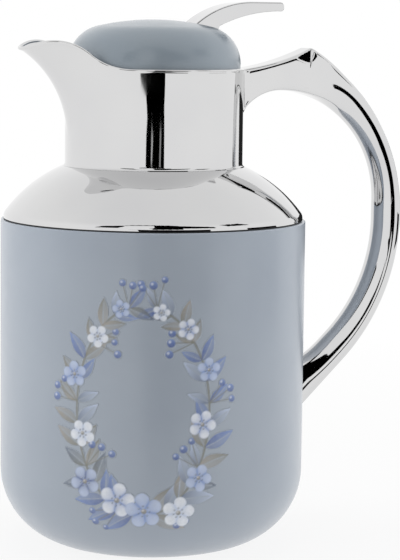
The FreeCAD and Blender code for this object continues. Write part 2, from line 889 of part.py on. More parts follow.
def make_stopper_body():
    body = new_body("stopper_body")
    groove = plug_radius - dim.groove_depth
    web_top = web_bottom + dim.web_thickness
    rod_bore = dim.rod_radius + dim.running_fit
    revolve(body, [
        (dim.seat_radius, plug_bottom),
        (plug_radius, plug_bottom),
        (plug_radius, groove_bottom),
        (groove, groove_bottom),
        (groove, groove_top),
        (plug_radius, groove_top),
        (plug_radius, seal_top),
        (stopper_radius, seal_top),
        (stopper_radius, plate_bottom),
        (plate_radius, plate_bottom),
        (plate_radius, plate_top),
        (chamber_radius, plate_top),
        (chamber_radius, web_top),
        (dim.guide_radius, web_top),
        (dim.guide_radius, plate_bottom),
        (rod_bore, plate_bottom),
        (rod_bore, web_bottom),
        (chamber_radius, web_bottom),
        (chamber_radius, seat_top),
        (dim.seat_radius, seat_top),
    ])
    half = dim.window_width / 2
    window = new_sketch(body, "window", "YZ_Plane")
    draw_box(window, -half, collar_top + dim.window_margin, half, web_bottom - dim.window_margin)
    extrude(body, "Pocket", window, stop="ThroughAll")
    vent = new_sketch(body, "vent", "YZ_Plane")
    draw_circle(vent, 0, web_bottom - 2 * dim.vent_radius, dim.vent_radius)
    extrude(body, "Pocket", vent, stop="ThroughAll", backwards=True)
    holes = new_sketch(body, "screw_holes", "XY_Plane", plate_bottom)
    for x, y in lid_screw_places():
        draw_circle(holes, x, y, lid_screw_bore)
    extrude(body, "Pocket", holes, dim.plate_thickness, backwards=True)


def lid_screw_places():
    """Centres of the three lid screws: one at the front, two beside the lever."""
    circle = plate_radius - dim.lid_screw_inset
    side = circle * math.sqrt(0.75)
    return [(-circle, as_size(0)), (circle / 2, side), (circle / 2, -side)]


def dome_line(inset):
    """Corners of the dome's curve, from its top on the axis down to its side, inset from the outside."""
    corner_x = dome_radius - dim.dome_corner
    drop = dim.dome_corner + dim.crown_sag
    crown = (corner_x * corner_x + drop * drop - dim.dome_corner * dim.dome_corner) / (2 * dim.crown_sag)
    lean = (dim.dome_corner - inset) / (crown - dim.dome_corner)
    meeting = (corner_x * (1 + lean), dome_top - crown + (crown - drop) * (1 + lean))
    return [
        (0, dome_top - inset),
        (*meeting, crown - inset, -1),
        (dome_radius - inset, dome_side_top, dim.dome_corner - inset, -1),
    ]


def reverse_line(corners):
    """The same open line walked from its other end."""
    arcs = [corner[2:] for corner in corners[1:]]
    points = [corner[:2] for corner in corners]
    walked = [points[-1]]
    for point, (radius, turn) in zip(reversed(points[:-1]), reversed(arcs)):
        walked.append((*point, radius, -turn))
    return walked


def make_lid_dome():
    body = new_body("lid_dome")
    tall = dome_top - plate_top
    bosses = new_sketch(body, "bosses", "XY_Plane", plate_top)
    for x, y in lid_screw_places():
        draw_circle(bosses, x, y, dim.lid_screw_radius + dim.boss_wall)
    extrude(body, "Pad", bosses, tall)
    half_lever = dim.lever_width / 2
    half_ear = dim.ear_length / 2
    ear_inner = half_lever + dim.free_gap
    ear_outer = ear_inner + dim.ear_width
    ears = new_sketch(body, "ears", "XY_Plane", pivot_z - half_ear)
    for hand in (1, -1):
        draw_box(ears, pivot_x - half_ear, ear_inner * hand, pivot_x + half_ear, ear_outer * hand)
    extrude(body, "Pad", ears, tall)

    # Bosses and ears end inside the dome's wall
    trim = new_sketch(body, "trim", "XZ_Plane")
    beyond = dome_radius * 2
    above = dome_top + dome_radius
    draw_outline(trim, dome_line(dim.dome_wall / 2) + [(beyond, dome_side_top), (beyond, above), (0, above)])
    trimmed = body.newObject("PartDesign::Groove", "lid_dome_trimmed")
    trimmed.Profile = trim
    trimmed.ReferenceAxis = (trim, ["V_Axis"])
    trimmed.Angle = 360

    inside = reverse_line(dome_line(dim.dome_wall))
    revolve(body, dome_line(as_size(0)) + [(dome_radius, dome_skirt), (dome_bore, dome_skirt)] + inside)
    pilots = new_sketch(body, "pilots", "XY_Plane", plate_top)
    for x, y in lid_screw_places():
        draw_circle(pilots, x, y, lid_screw_bore)
    pilot_depth = dim.lid_screw_length - dim.plate_thickness + dim.slide_gap
    extrude(body, "Pocket", pilots, pilot_depth, backwards=True)
    pin_hole = new_sketch(body, "pin_hole", "XZ_Plane")
    draw_circle(pin_hole, pivot_x, pivot_z, dim.pin_radius + dim.running_fit / 2)
    extrude(body, "Pocket", pin_hole, 2 * ear_outer, symmetric=True)
    slot = new_sketch(body, "slot", "XY_Plane", dome_side_top + dim.slot_rise)
    half_slot = half_lever + dim.slot_gap
    draw_box(slot, pivot_x - dim.slot_back, -half_slot, pivot_x + dim.slot_front, half_slot)
    extrude(body, "Pocket", slot, stop="ThroughAll", backwards=True)


def make_lid_screws():
    pieces = []
    head = dim.screw_head_height
    for number, (x, y) in enumerate(lid_screw_places(), start=1):
        pieces.append(cylinder(f"lid_head_{number}", dim.lid_screw_head, head, x, y, plate_bottom - head))
        pieces.append(cylinder(f"lid_shank_{number}", dim.lid_screw_radius, dim.lid_screw_length,
                               x, y, plate_bottom))
    join("lid_screws", pieces)


def make_lever_pin():
    body = new_body("lever_pin")
    end = new_sketch(body, "end", "XZ_Plane")
    draw_circle(end, pivot_x, pivot_z, dim.pin_radius)
    extrude(body, "Pad", end, dim.lever_width + 2 * (dim.free_gap + dim.ear_width), symmetric=True)


def tangent_arc(start, corner, end):
    """Arc from start to end whose end tangents meet at the corner."""
    half_chord = (end - start).Length / 2
    cosine = half_chord / (corner - start).Length
    middle = (start + end) / 2
    crown = middle + (corner - middle) * (cosine / (1 + cosine))
    return Part.Arc(start, crown, end).toShape()


def make_return_spring():
    """Coil of round wire. Each quarter turn is a pair of arcs that share their tangent."""
    quarters = round(4 * dim.coil_turns.value)
    wire = dim.wire_radius.value
    radius = dim.coil_radius.value
    low = disc_top.value + wire
    rise = (web_bottom.value - wire - low) / quarters
    slope = rise / (math.pi / 2)

    def on_coil(number):
        turn = number * math.pi / 2
        point = Vector(radius * math.cos(turn), radius * math.sin(turn), low + rise * number)
        heading = Vector(-radius * math.sin(turn), radius * math.cos(turn), slope).normalize()
        return point, heading

    edges = []
    for number in range(quarters):
        start, leaving = on_coil(number)
        end, arriving = on_coil(number + 1)
        chord = end - start
        both = leaving + arriving
        spare = 4 - both.dot(both)
        along = chord.dot(both)
        reach = (math.sqrt(along ** 2 + spare * chord.dot(chord)) - along) / spare
        first = start + leaving * reach
        last = end - arriving * reach
        meeting = (first + last) / 2
        edges.append(tangent_arc(start, first, meeting))
        edges.append(tangent_arc(meeting, last, end))
    start, heading = on_coil(0)
    section = Part.Wire(Part.Circle(start, heading, wire).toShape())
    coil = doc.addObject("Part::Feature", "return_spring")
    coil.Label = "return_spring"
    coil.Shape = Part.Wire(edges).makePipeShell([section], True, False)
    coil.Placement = Placement()


# Lever and valve

def make_thumb_lever():
    body = new_body("thumb_lever")
    top = dome_top + dim.lever_lift
    under = top - dim.lever_thickness
    reach = dim.neck_radius + dim.lever_overhang
    tip = dim.lever_tip_round
    under_tip = dim.lever_under_round
    fork = dim.fork_round
    heel = dim.heel_height
    side = new_sketch(body, "side", "XZ_Plane")
    draw_outline(side, [
        (pivot_x - dim.lever_root, top - dim.lever_root_drop),
        (pivot_x + dim.lever_crest, top, dim.lever_bend, -1),
        (reach - tip, top),
        (reach, top - tip, tip, -1),
        (reach, under + under_tip),
        (reach - under_tip, under, under_tip, -1),
        (pivot_x + dim.lever_chin, under - dim.lever_chin_drop, dim.lever_under_bend, 1),
        (pivot_x + dim.heel_length, pivot_z + heel),
        (pivot_x + dim.heel_length, pivot_z - heel / 2),
        (pivot_x, pivot_z - heel),
        (0, fork_top - 2 * fork),
        (-fork, fork_top - fork, fork, -1),
        (0, fork_top, fork, -1),
        (head_radius + dim.free_gap, fork_top),
        (pivot_x - dim.arm_back, pivot_z + dim.arm_rise),
    ])
    blade = extrude(body, "Pad", side, dim.lever_width, symmetric=True)
    half = dim.lever_width / 2

    def on_blade(edge, middle):
        level = abs(edge.tangentAt(edge.FirstParameter).y) < NEAR
        outside = middle.x > pivot_x.value + dim.slot_front.value
        return level and outside and abs(abs(middle.y) - half.value) < NEAR

    round_edges(body, blade, on_blade, dim.lever_round)
    nose = new_sketch(body, "nose", "XY_Plane", plate_top)
    half_nose = dim.rod_radius + dim.fork_width
    half_gap = dim.rod_radius + dim.slide_gap
    nose_root = pivot_x - dim.nose_length
    nose_end = -2 * fork
    for hand in (1, -1):
        draw_box(nose, nose_end, half_nose * hand, nose_root, dim.lever_width * hand)
    draw_box(nose, nose_end, -half_gap, dim.rod_radius + dim.fork_slack, half_gap)
    extrude(body, "Pocket", nose, stop="ThroughAll", backwards=True)
    hole = new_sketch(body, "pin_hole", "XZ_Plane")
    draw_circle(hole, pivot_x, pivot_z, dim.pin_radius + dim.running_fit)
    extrude(body, "Pocket", hole, stop="ThroughAll", symmetric=True)


def make_valve():
    rod_top = head_bottom + dim.head_height
    rod = new_body("valve_rod")
    revolve(rod, [(0, disc_top), (dim.rod_radius, disc_top), (dim.rod_radius, rod_top), (0, rod_top)])

    head = new_body("rod_head")
    revolve(head, [
        (dim.rod_radius, head_bottom),
        (head_radius, head_bottom),
        (head_radius, rod_top),
        (dim.rod_radius, rod_top),
    ])

    disc = new_body("valve_disc")
    revolve(disc, [(0, disc_bottom), (valve_radius, disc_bottom), (valve_radius, disc_top), (0, disc_top)])

    gasket = new_body("valve_gasket")
    gasket_bore = dim.seat_radius + dim.slide_gap
    revolve(gasket, [
        (gasket_bore, seat_top),
        (valve_radius, seat_top),
        (valve_radius, disc_bottom),
        (gasket_bore, disc_bottom),
    ])


def check_and_write():
    """Stop on any failed object, then write one file for each sub-part."""
    doc.recompute()
    for item in doc.Objects:
        if "Invalid" in item.State or "Error" in item.State:
            raise RuntimeError(f"{item.Label} failed: {item.State}")
    os.makedirs("parts", exist_ok=True)
    for item in doc.Objects:
        if item.TypeId not in ("PartDesign::Body", "Part::MultiFuse", "Part::Feature"):
            continue
        if item.Shape.isNull() or not item.Shape.isValid():
            raise RuntimeError(f"{item.Label} has no valid shape")
        item.Shape.exportStep(f"parts/{item.Label}.step")


make_body_shell()
make_seam_gasket()
make_shoulder()
make_pouring_neck()
make_inner_collar()
make_neck_seal()
make_flask_walls()
make_base_pieces()
make_handle()
make_handle_screws()
make_stopper_gasket()
make_stopper_body()
make_lid_dome()
make_lid_screws()
make_lever_pin()
make_return_spring()
make_thumb_lever()
make_valve()
check_and_write()
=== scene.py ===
import math
import random

import bpy
import numpy as np
from mathutils import Matrix, Vector


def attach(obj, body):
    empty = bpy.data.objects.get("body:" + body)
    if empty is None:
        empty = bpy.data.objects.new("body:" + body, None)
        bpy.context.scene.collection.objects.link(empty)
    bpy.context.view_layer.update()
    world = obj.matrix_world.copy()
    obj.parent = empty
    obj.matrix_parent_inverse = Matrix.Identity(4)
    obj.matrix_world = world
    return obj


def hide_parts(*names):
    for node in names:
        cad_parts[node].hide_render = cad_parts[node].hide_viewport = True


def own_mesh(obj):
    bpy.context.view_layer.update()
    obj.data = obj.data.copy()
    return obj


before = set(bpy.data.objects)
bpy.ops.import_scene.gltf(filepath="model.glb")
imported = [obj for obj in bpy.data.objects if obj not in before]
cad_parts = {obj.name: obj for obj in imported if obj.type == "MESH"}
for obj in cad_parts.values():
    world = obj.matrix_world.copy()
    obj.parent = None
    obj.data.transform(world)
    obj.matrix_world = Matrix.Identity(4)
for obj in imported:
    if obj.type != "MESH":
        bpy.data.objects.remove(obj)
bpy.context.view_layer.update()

# Insulated pouring jug: painted body, bright shoulder, neck and handle, dome stopper with a lever.
# Metres, +Z up, spout towards -X, handle towards +X. Sizes written in millimetres are multiplied by MM.

MM = 0.001


# Materials

# The middle range of a noise texture, which holds most of its values
NOISE_LOW = 0.3
NOISE_HIGH = 0.7

# Sockets of a Mix node that mixes colours
MIX_SHARE = 0
MIX_FIRST = 6
MIX_SECOND = 7
MIX_RESULT = 2

INK = "ink"
INK_GRAIN = 1.8 * MM
INK_THINNEST = 0.78
PAINT_ROUGH_SPREAD = 0.04
MOULDED_ROUGH_SPREAD = 0.05


def srgb(red, green, blue):
    """A colour given in the 0 to 255 values of a screen, as linear light."""
    channels = []
    for value in (red, green, blue):
        part = value / 255
        channels.append(part / 12.92 if part <= 0.04045 else ((part + 0.055) / 1.055) ** 2.4)
    return (*channels, 1)


def ramp(tree, value, **limits):
    """A Map Range node's result; its limits are numbers or sockets, named as the node names them."""
    made = tree.nodes.new("ShaderNodeMapRange")
    tree.links.new(value, made.inputs["Value"])
    for name, limit in limits.items():
        socket = made.inputs[name.replace("_", " ")]
        if isinstance(limit, bpy.types.NodeSocket):
            tree.links.new(limit, socket)
        else:
            socket.default_value = limit
    return made.outputs["Result"]


class Finish:
    """A procedural material built around one Principled shader."""

    def __init__(self, name, **sockets):
        self.material = bpy.data.materials.new(name)
        self.material.use_nodes = True
        self.tree = self.material.node_tree
        self.shader = self.tree.nodes["Principled BSDF"]
        self.place = self.node("ShaderNodeTexCoord").outputs["Object"]
        for socket, value in sockets.items():
            self.shader.inputs[socket.replace("_", " ")].default_value = value

    def node(self, kind, **settings):
        made = self.tree.nodes.new(kind)
        for name, value in settings.items():
            if name in made.inputs:
                made.inputs[name].default_value = value
            else:
                setattr(made, name, value)
        return made

    def link(self, start, end):
        self.tree.links.new(start, end)

    def noise(self, grain, detail=3, stretch=(1, 1, 1)):
        """Noise whose blobs are about grain metres across."""
        mapping = self.node("ShaderNodeMapping", Scale=[part / grain for part in stretch])
        texture = self.node("ShaderNodeTexNoise", Scale=1.0, Detail=detail)
        self.link(self.place, mapping.inputs["Vector"])
        self.link(mapping.outputs["Vector"], texture.inputs["Vector"])
        return texture.outputs["Fac"]

    def spread(self, value, low, high):
        """Map a noise's middle range on to low to high."""
        return ramp(self.tree, value, From_Min=NOISE_LOW, From_Max=NOISE_HIGH, To_Min=low, To_Max=high)

    def colours(self, value, dark, light):
        """Base colour that wanders between two shades."""
        mix = self.node("ShaderNodeMix", data_type="RGBA")
        mix.inputs[MIX_FIRST].default_value = dark
        mix.inputs[MIX_SECOND].default_value = light
        self.link(self.spread(value, 0, 1), mix.inputs[MIX_SHARE])
        self.link(mix.outputs[MIX_RESULT], self.shader.inputs["Base Color"])
        return mix.outputs[MIX_RESULT]

    def printed(self, ground, attribute, grain):
        """Lay a colour attribute over the ground, thinned by a fine grain as paper takes a wash."""
        ink = self.node("ShaderNodeVertexColor", layer_name=attribute)
        cover = self.node("ShaderNodeMath", operation="MULTIPLY")
        self.link(ink.outputs["Alpha"], cover.inputs[0])
        self.link(self.spread(self.noise(grain, detail=4), INK_THINNEST, 1), cover.inputs[1])
        mix = self.node("ShaderNodeMix", data_type="RGBA")
        self.link(cover.outputs[0], mix.inputs[MIX_SHARE])
        self.link(ground, mix.inputs[MIX_FIRST])
        self.link(ink.outputs["Color"], mix.inputs[MIX_SECOND])
        self.link(mix.outputs[MIX_RESULT], self.shader.inputs["Base Color"])

    def roughness(self, value, low, high):
        self.link(self.spread(value, low, high), self.shader.inputs["Roughness"])

    def bump(self, value, height):
        """A relief of that height in metres."""
        relief = self.node("ShaderNodeBump", Strength=1.0, Distance=height)
        self.link(value, relief.inputs["Height"])
        self.link(relief.outputs["Normal"], self.shader.inputs["Normal"])


def satin_paint(name, dark, light, rough, grain, attribute=None):
    """Sprayed paint with a soft gloss; the attribute holds the print, where there is one."""
    finish = Finish(name, Specular_IOR_Level=0.5, Coat_Weight=0.7, Coat_Roughness=0.22)
    ground = finish.colours(finish.noise(grain=35 * MM, detail=4), dark, light)
    if attribute:
        finish.printed(ground, attribute, INK_GRAIN)
    spread = PAINT_ROUGH_SPREAD
    finish.roughness(finish.noise(grain=9 * MM), low=rough - spread, high=rough + spread)
    finish.bump(finish.noise(grain, detail=2), height=0.012 * MM)
    return finish.material


def polished_metal():
    finish = Finish("polished_metal", Metallic=1.0)
    finish.colours(finish.noise(grain=40 * MM, detail=2), srgb(214, 214, 215), srgb(219, 219, 219))
    finish.roughness(finish.noise(grain=14 * MM, detail=4), low=0.02, high=0.05)
    return finish.material


def moulded(name, dark, light, rough, grain, relief):
    finish = Finish(name)
    finish.colours(finish.noise(grain=12 * MM), dark, light)
    spread = MOULDED_ROUGH_SPREAD
    finish.roughness(finish.noise(grain=5 * MM), low=rough - spread, high=rough + spread)
    finish.bump(finish.noise(grain, detail=2), relief)
    return finish.material


def silvered_glass():
    finish = Finish("silvered_glass", Metallic=0.92, Coat_Weight=1.0, Coat_Roughness=0.02)
    finish.colours(finish.noise(grain=25 * MM), srgb(205, 208, 212), srgb(224, 226, 228))
    finish.roughness(finish.noise(grain=30 * MM), low=0.05, high=0.12)
    return finish.material


def turned_steel():
    finish = Finish("turned_steel", Metallic=1.0)
    finish.colours(finish.noise(grain=6 * MM), srgb(168, 169, 172), srgb(196, 197, 199))
    finish.roughness(finish.noise(grain=3 * MM), low=0.22, high=0.36)
    finish.bump(finish.noise(grain=0.5 * MM, detail=2, stretch=(0.15, 0.15, 1)), height=0.01 * MM)
    return finish.material


BODY_PAINT = {
    "dark": srgb(152, 161, 173),
    "light": srgb(157, 166, 177),
    "rough": 0.42,
    "grain": 0.8 * MM,
}
# The body's paint on the dome, a little glossier, with its colours set darker than the body's as painted
# shade
LID_PAINT_DARKENED_FOR_SHADE = {
    "dark": srgb(129, 140, 150),
    "light": srgb(133, 144, 153),
    "rough": 0.36,
    "grain": 0.7 * MM,
}
BLACK_RUBBER = {
    "dark": srgb(28, 28, 29),
    "light": srgb(38, 38, 39),
    "rough": 0.62,
    "grain": 0.5 * MM,
    "relief": 0.02 * MM,
}
GREY_PLASTIC = {
    "dark": srgb(92, 96, 101),
    "light": srgb(100, 104, 109),
    "rough": 0.45,
    "grain": 0.6 * MM,
    "relief": 0.015 * MM,
}

paint = satin_paint("body_paint", **BODY_PAINT)
printed_paint = satin_paint("printed_paint", **BODY_PAINT, attribute=INK)
# The dome's paint: the same paint as the body, darkened as painted shade
lid_paint = satin_paint("lid_paint", **LID_PAINT_DARKENED_FOR_SHADE)
bright = polished_metal()
rubber = moulded("black_rubber", **BLACK_RUBBER)
plastic = moulded("grey_plastic", **GREY_PLASTIC)
glass = silvered_glass()
steel = turned_steel()

FINISHES = {
    "paint": paint,
    "lid_paint": lid_paint,
    "bright": bright,
    "rubber": rubber,
    "plastic": plastic,
    "glass": glass,
    "steel": steel,
}

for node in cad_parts.values():
    for slot in node.material_slots:
        slot.material = FINISHES[slot.material.name.split(".")[0]]


# Pieces made here

def mesh_piece(name, points, faces, body, material):
    """A smooth mesh that rides on a body; points are in millimetres."""
    mesh = bpy.data.meshes.new(name)
    mesh.from_pydata([tuple(part * MM for part in point) for point in points], [], faces)
    mesh.shade_smooth()
    piece = bpy.data.objects.new(name, mesh)
    bpy.context.collection.objects.link(piece)
    piece.data.materials.append(material)
    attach(piece, body)
    return piece


def ring_faces(rings, count, closed=True):
    """Quads between rings of points.

    Where closed, the last ring joins the first. Otherwise both ends are capped.
    """
    faces = []
    for ring in range(rings if closed else rings - 1):
        low = ring * count
        high = (ring + 1) % rings * count
        for number in range(count):
            after = (number + 1) % count
            faces.append((low + number, low + after, high + after, high + number))
    if not closed:
        faces.append(tuple(range(count - 1, -1, -1)))
        faces.append(tuple(range((rings - 1) * count, rings * count)))
    return faces


# Neck with its pulled spout, rolled rim and hollow foot

NECK_RADIUS = 42.5
NECK_WALL = 1.2
NECK_FOOT = 182.7
SPOUT_FOOT = 195.0
SPOUT_CLIMB = 47.2
SPOUT_FLARE = 50.0
SPOUT_ROOT_RADIUS = 20.0
SPOUT_TIP_RADIUS = 8.0
RIM = 229.0
CREST_X = -55.5
CREST_RISE = 12.7
RIM_BEND = 24.7
RIM_RUN = math.sqrt(CREST_RISE * (4 * RIM_BEND - CREST_RISE))
RIM_ROLL = 0.85
FOOT_HOLLOW = 1.5
FOOT_DROP = 0.45
SHOULDER_SLOPE = math.radians(68)
NECK_COLUMNS = 140
NECK_ROWS = 48
ROLL_STEPS = 12
FOOT_STEPS = 6
ROLL_START = -45
ROLL_SWEEP = 270
FRONT_CROWDING = 1.5
HALVINGS = 40


def rim_level(x):
    """Height of the rim seen from the side: level behind, rising to a crest over the spout."""
    if x > CREST_X + RIM_RUN:
        return RIM
    if x > CREST_X + RIM_RUN / 2:
        return RIM + RIM_BEND - math.sqrt(RIM_BEND ** 2 - (CREST_X + RIM_RUN - x) ** 2)
    return RIM + CREST_RISE - RIM_BEND + math.sqrt(RIM_BEND ** 2 - (x - CREST_X) ** 2)


def neck_reach(turn, height, inset):
    """Distance from the axis to the wall, turned away from the spout by an angle."""
    climb = max(height - SPOUT_FOOT, 0)
    tip = SPOUT_ROOT_RADIUS - (SPOUT_ROOT_RADIUS - SPOUT_TIP_RADIUS) * climb / SPOUT_CLIMB
    centre = NECK_RADIUS + SPOUT_FLARE - math.sqrt(SPOUT_FLARE ** 2 - climb ** 2) - tip
    lean = math.acos(min((NECK_RADIUS - tip) / centre, 1))
    neck = NECK_RADIUS - inset
    tip -= inset
    if turn >= lean:
        return neck
    along_tangent = neck / math.cos(lean - turn)
    touch = math.atan2(tip * math.sin(lean), centre + tip * math.cos(lean))
    if turn >= touch:
        return along_tangent
    return centre * math.cos(turn) + math.sqrt(tip ** 2 - (centre * math.sin(turn)) ** 2)


def neck_point(turn, height, inset=0):
    reach = neck_reach(abs(turn), height, inset)
    return (-reach * math.cos(turn), reach * math.sin(turn), height)


def rim_height(turn):
    """Height at which the wall in that direction meets the rim."""
    low = SPOUT_FOOT
    high = RIM + CREST_RISE
    for _ in range(HALVINGS):
        half = (low + high) / 2
        if half < rim_level(neck_point(turn, half)[0]):
            low = half
        else:
            high = half
    return low


def neck_turns():
    """Directions round the neck, closest together at the spout."""
    half = [math.pi * (number / NECK_COLUMNS) ** FRONT_CROWDING for number in range(NECK_COLUMNS + 1)]
    return half + [-turn for turn in half[-2:0:-1]]


def make_neck():
    """The tube's wall: the hollow foot, up the outside, over the rolled rim and down the inside."""
    turns = neck_turns()
    rims = [rim_height(turn) for turn in turns]
    bottom = NECK_FOOT + FOOT_HOLLOW - FOOT_DROP
    rings = []
    for step in range(FOOT_STEPS, 0, -1):
        angle = SHOULDER_SLOPE * step / FOOT_STEPS
        swell = FOOT_HOLLOW * (1 - math.cos(angle))
        height = bottom - FOOT_HOLLOW * math.sin(angle)
        rings.append([neck_point(turn, height, -swell) for turn in turns])
    for row in range(NECK_ROWS):
        share = row / NECK_ROWS
        rings.append([neck_point(turn, bottom + (rim - RIM_ROLL - bottom) * share)
                      for turn, rim in zip(turns, rims)])
    middles = [Vector(neck_point(turn, rim - RIM_ROLL, NECK_WALL / 2)) for turn, rim in zip(turns, rims)]
    count = len(turns)
    for step in range(ROLL_STEPS + 1):
        angle = math.radians(ROLL_START + ROLL_SWEEP * step / ROLL_STEPS)
        ring = []
        for number, middle in enumerate(middles):
            along = middles[(number + 1) % count] - middles[number - 1]
            along.z = 0
            outward = Vector((-along.y, along.x, 0)).normalized()
            offset = outward * math.cos(angle) + Vector((0, 0, math.sin(angle)))
            ring.append(tuple(middle + offset * RIM_ROLL))
        rings.append(ring)
    for row in range(NECK_ROWS, -1, -1):
        share = row / NECK_ROWS
        rings.append([neck_point(turn, bottom + (rim - 2 * RIM_ROLL - bottom) * share, NECK_WALL)
                      for turn, rim in zip(turns, rims)])

    # Reversed, so that the faces look outwards
    points = [point for ring in reversed(rings) for point in ring]
    neck = mesh_piece("neck_tube", points, ring_faces(len(rings), count), "pot", bright)
    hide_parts("pouring_neck")


# Handle: one casting with a peaked thumb rest on its arm, and a grip that flares on to the shell

# Side view
SHELL_RADIUS = 73.0
GRIP_REACH = 128.6
GRIP_MIDDLE = 157.0
GRIP_DEPTH = 12.8
UPPER_BEND = 91.5
LOWER_BEND = 103.0
ARCH_BEND = 53.5
ARCH_MIDDLE = 164.8
INNER_LOW = 155.0
ROOT_X = 39.02
ROOT_MARGIN = 0.5
ARM_START = 46.5
REST_LEVEL = 228.2
REST_BEND = 120.0
PEAK_X = 78.0
PEAK_ROUND = 1.2
PEAK_STATION = 77.0
PEAK_SPREAD = 1.5
FOOT_TURN = -45
FOOT_DEPTH = 14.4
FOOT_END = 82.5
FOOT_FLARE = 5.0
FLARE_START = 88.0
SUNK = 0.6

# Sections
HANDLE_HALF = 9.0
HANDLE_FLARE = 6.0
REST_POWER = 9.0
ARM_INNER_POWER = 8.0
BEVEL_HEIGHT = 8.0
BEVEL_SLOPE = 0.36
BEVEL_BEFORE = 12.0
BEVEL_AFTER = 2.0
GRIP_ROUND = 14.0
GRIP_EASE = 34.0
FLANK_TILT = 42.5
FLANK_LENGTH = 2.5
EDGE_ROUND = 3.0
OUTER_INSET = 1.5
INNER_INSET = 0.7

# Numbers of points, rings and passes
RUN_POINTS = 200
OVAL_POINTS = 720
SECTION_POINTS = 96
ROOT_RINGS = 10
REST_RINGS = 40
PEAK_RINGS = 8
UPPER_RINGS = 80
LOWER_RINGS = 60
FOOT_RINGS = 12
ROOT_PASSES = 60


def arc_run(centre, radius, start, end):
    """Points of the side view along an arc, between two directions in degrees."""
    angles = np.radians(np.linspace(start, end, RUN_POINTS))
    return np.asarray(centre) + radius * np.column_stack((np.cos(angles), np.sin(angles)))


def even_run(points, count):
    """The same line as evenly spaced points, without its last one."""
    steps = np.hypot(*np.diff(points, axis=0).T)
    along = np.concatenate(([0], np.cumsum(steps)))
    wanted = np.linspace(0, along[-1], count, endpoint=False)
    return np.column_stack([np.interp(wanted, along, points[:, axis]) for axis in (0, 1)])


def direction(centre, point):
    return math.degrees(math.atan2(point[1] - centre[1], point[0] - centre[0]))


def circles_meet(first, first_radius, second, second_radius):
    """The crossing of two circles that lies to the right of the line from the first to the second."""
    first = np.asarray(first)
    span = np.asarray(second) - first
    gap = np.hypot(*span)
    along = (gap ** 2 + first_radius ** 2 - second_radius ** 2) / (2 * gap)
    aside = math.sqrt(first_radius ** 2 - along ** 2)
    span /= gap
    return first + along * span + aside * np.array((span[1], -span[0]))


# Centres of the side view's arcs, worked out from the sizes above
INNER_X = GRIP_REACH - GRIP_DEPTH
UPPER_CENTRE = (GRIP_REACH - UPPER_BEND, GRIP_MIDDLE)
LOWER_CENTRE = (GRIP_REACH - LOWER_BEND, GRIP_MIDDLE)
ARCH_CENTRE = (INNER_X - ARCH_BEND, ARCH_MIDDLE)
ROOT_BEND = ARCH_CENTRE[0] - ROOT_X + ROOT_MARGIN
ROOT_CENTRE = (ARCH_CENTRE[0], ARCH_MIDDLE + ARCH_BEND - ROOT_BEND)
PEAK = (PEAK_X, GRIP_MIDDLE + math.sqrt(UPPER_BEND ** 2 - (PEAK_X - UPPER_CENTRE[0]) ** 2))
REST_CENTRE = circles_meet(PEAK, REST_BEND, (ROOT_X, REST_LEVEL), REST_BEND)
TIP_CENTRE = circles_meet(UPPER_CENTRE, UPPER_BEND - PEAK_ROUND, REST_CENTRE, REST_BEND + PEAK_ROUND)


def rest_level(x):
    """Height of the thumb rest, a hollow arc that runs up to the peak."""
    return REST_CENTRE[1] - np.sqrt(REST_BEND ** 2 - (x - REST_CENTRE[0]) ** 2)


def root_level(x):
    """Height of the arm's underside where it leaves the neck."""
    return ROOT_CENTRE[1] + np.sqrt(ROOT_BEND ** 2 - (x - ROOT_CENTRE[0]) ** 2)


def flared(point):
    """A point of the inner line, raised in a hollow curve where the grip nears the shell."""
    if point[1] >= GRIP_MIDDLE:
        return point
    near = np.clip((FLARE_START - point[0]) / (FLARE_START - SHELL_RADIUS), 0, 1)
    return point + np.array((0, FOOT_FLARE * near * near))


def side_lines():
    """The bar's outer and inner lines seen from the side, with a point of each for every ring."""
    arm_start = direction(REST_CENTRE, (ARM_START, rest_level(ARM_START)))
    arm_root = direction(ROOT_CENTRE, (ARM_START, root_level(ARM_START)))
    tip_start = direction(REST_CENTRE, TIP_CENTRE)
    tip_end = direction(UPPER_CENTRE, TIP_CENTRE)
    under_peak = (PEAK_STATION + PEAK_SPREAD, PEAK_STATION - PEAK_SPREAD)
    inner_middle = (INNER_X, GRIP_MIDDLE)

    # The foot runs straight at 45 degrees, and an arc joins its inner side to the grip's
    diagonal = math.sqrt(0.5)
    foot_start = np.array(LOWER_CENTRE) + LOWER_BEND * diagonal * np.array((1, -1))
    foot_end = foot_start - (foot_start[0] - FOOT_END)
    outer_foot = np.array((foot_start, foot_end))
    inner_foot = outer_foot + FOOT_DEPTH * diagonal * np.array((-1, 1))
    inner_drop = inner_foot[0, 1] - inner_foot[0, 0]
    inner_bend = (INNER_LOW - INNER_X - inner_drop) / (math.sqrt(2) - 1)
    inner_centre = (INNER_X - inner_bend, INNER_LOW)

    # Outer line, inner line and number of rings of each stretch, from the arm to the foot
    stretches = [
        (arc_run(REST_CENTRE, REST_BEND, arm_start, tip_start),
         np.vstack((arc_run(ROOT_CENTRE, ROOT_BEND, arm_root, 90),
                    arc_run(ARCH_CENTRE, ARCH_BEND, 90, under_peak[0]))),
         REST_RINGS),
        (arc_run(TIP_CENTRE, PEAK_ROUND, tip_start + 180, tip_end),
         arc_run(ARCH_CENTRE, ARCH_BEND, *under_peak),
         PEAK_RINGS),
        (arc_run(UPPER_CENTRE, UPPER_BEND, tip_end, 0),
         np.vstack((arc_run(ARCH_CENTRE, ARCH_BEND, under_peak[1], 0), [inner_middle])),
         UPPER_RINGS),
        (arc_run(LOWER_CENTRE, LOWER_BEND, 0, FOOT_TURN),
         np.vstack(([inner_middle], arc_run(inner_centre, inner_bend, 0, FOOT_TURN), inner_foot[:1])),
         LOWER_RINGS),
        (outer_foot, inner_foot, FOOT_RINGS),
    ]
    outer_line = np.vstack([even_run(outer, count) for outer, _, count in stretches] + [foot_end])
    inner_line = np.vstack([even_run(inner, count) for _, inner, count in stretches] + [inner_foot[1]])
    return outer_line, np.array([flared(point) for point in inner_line])


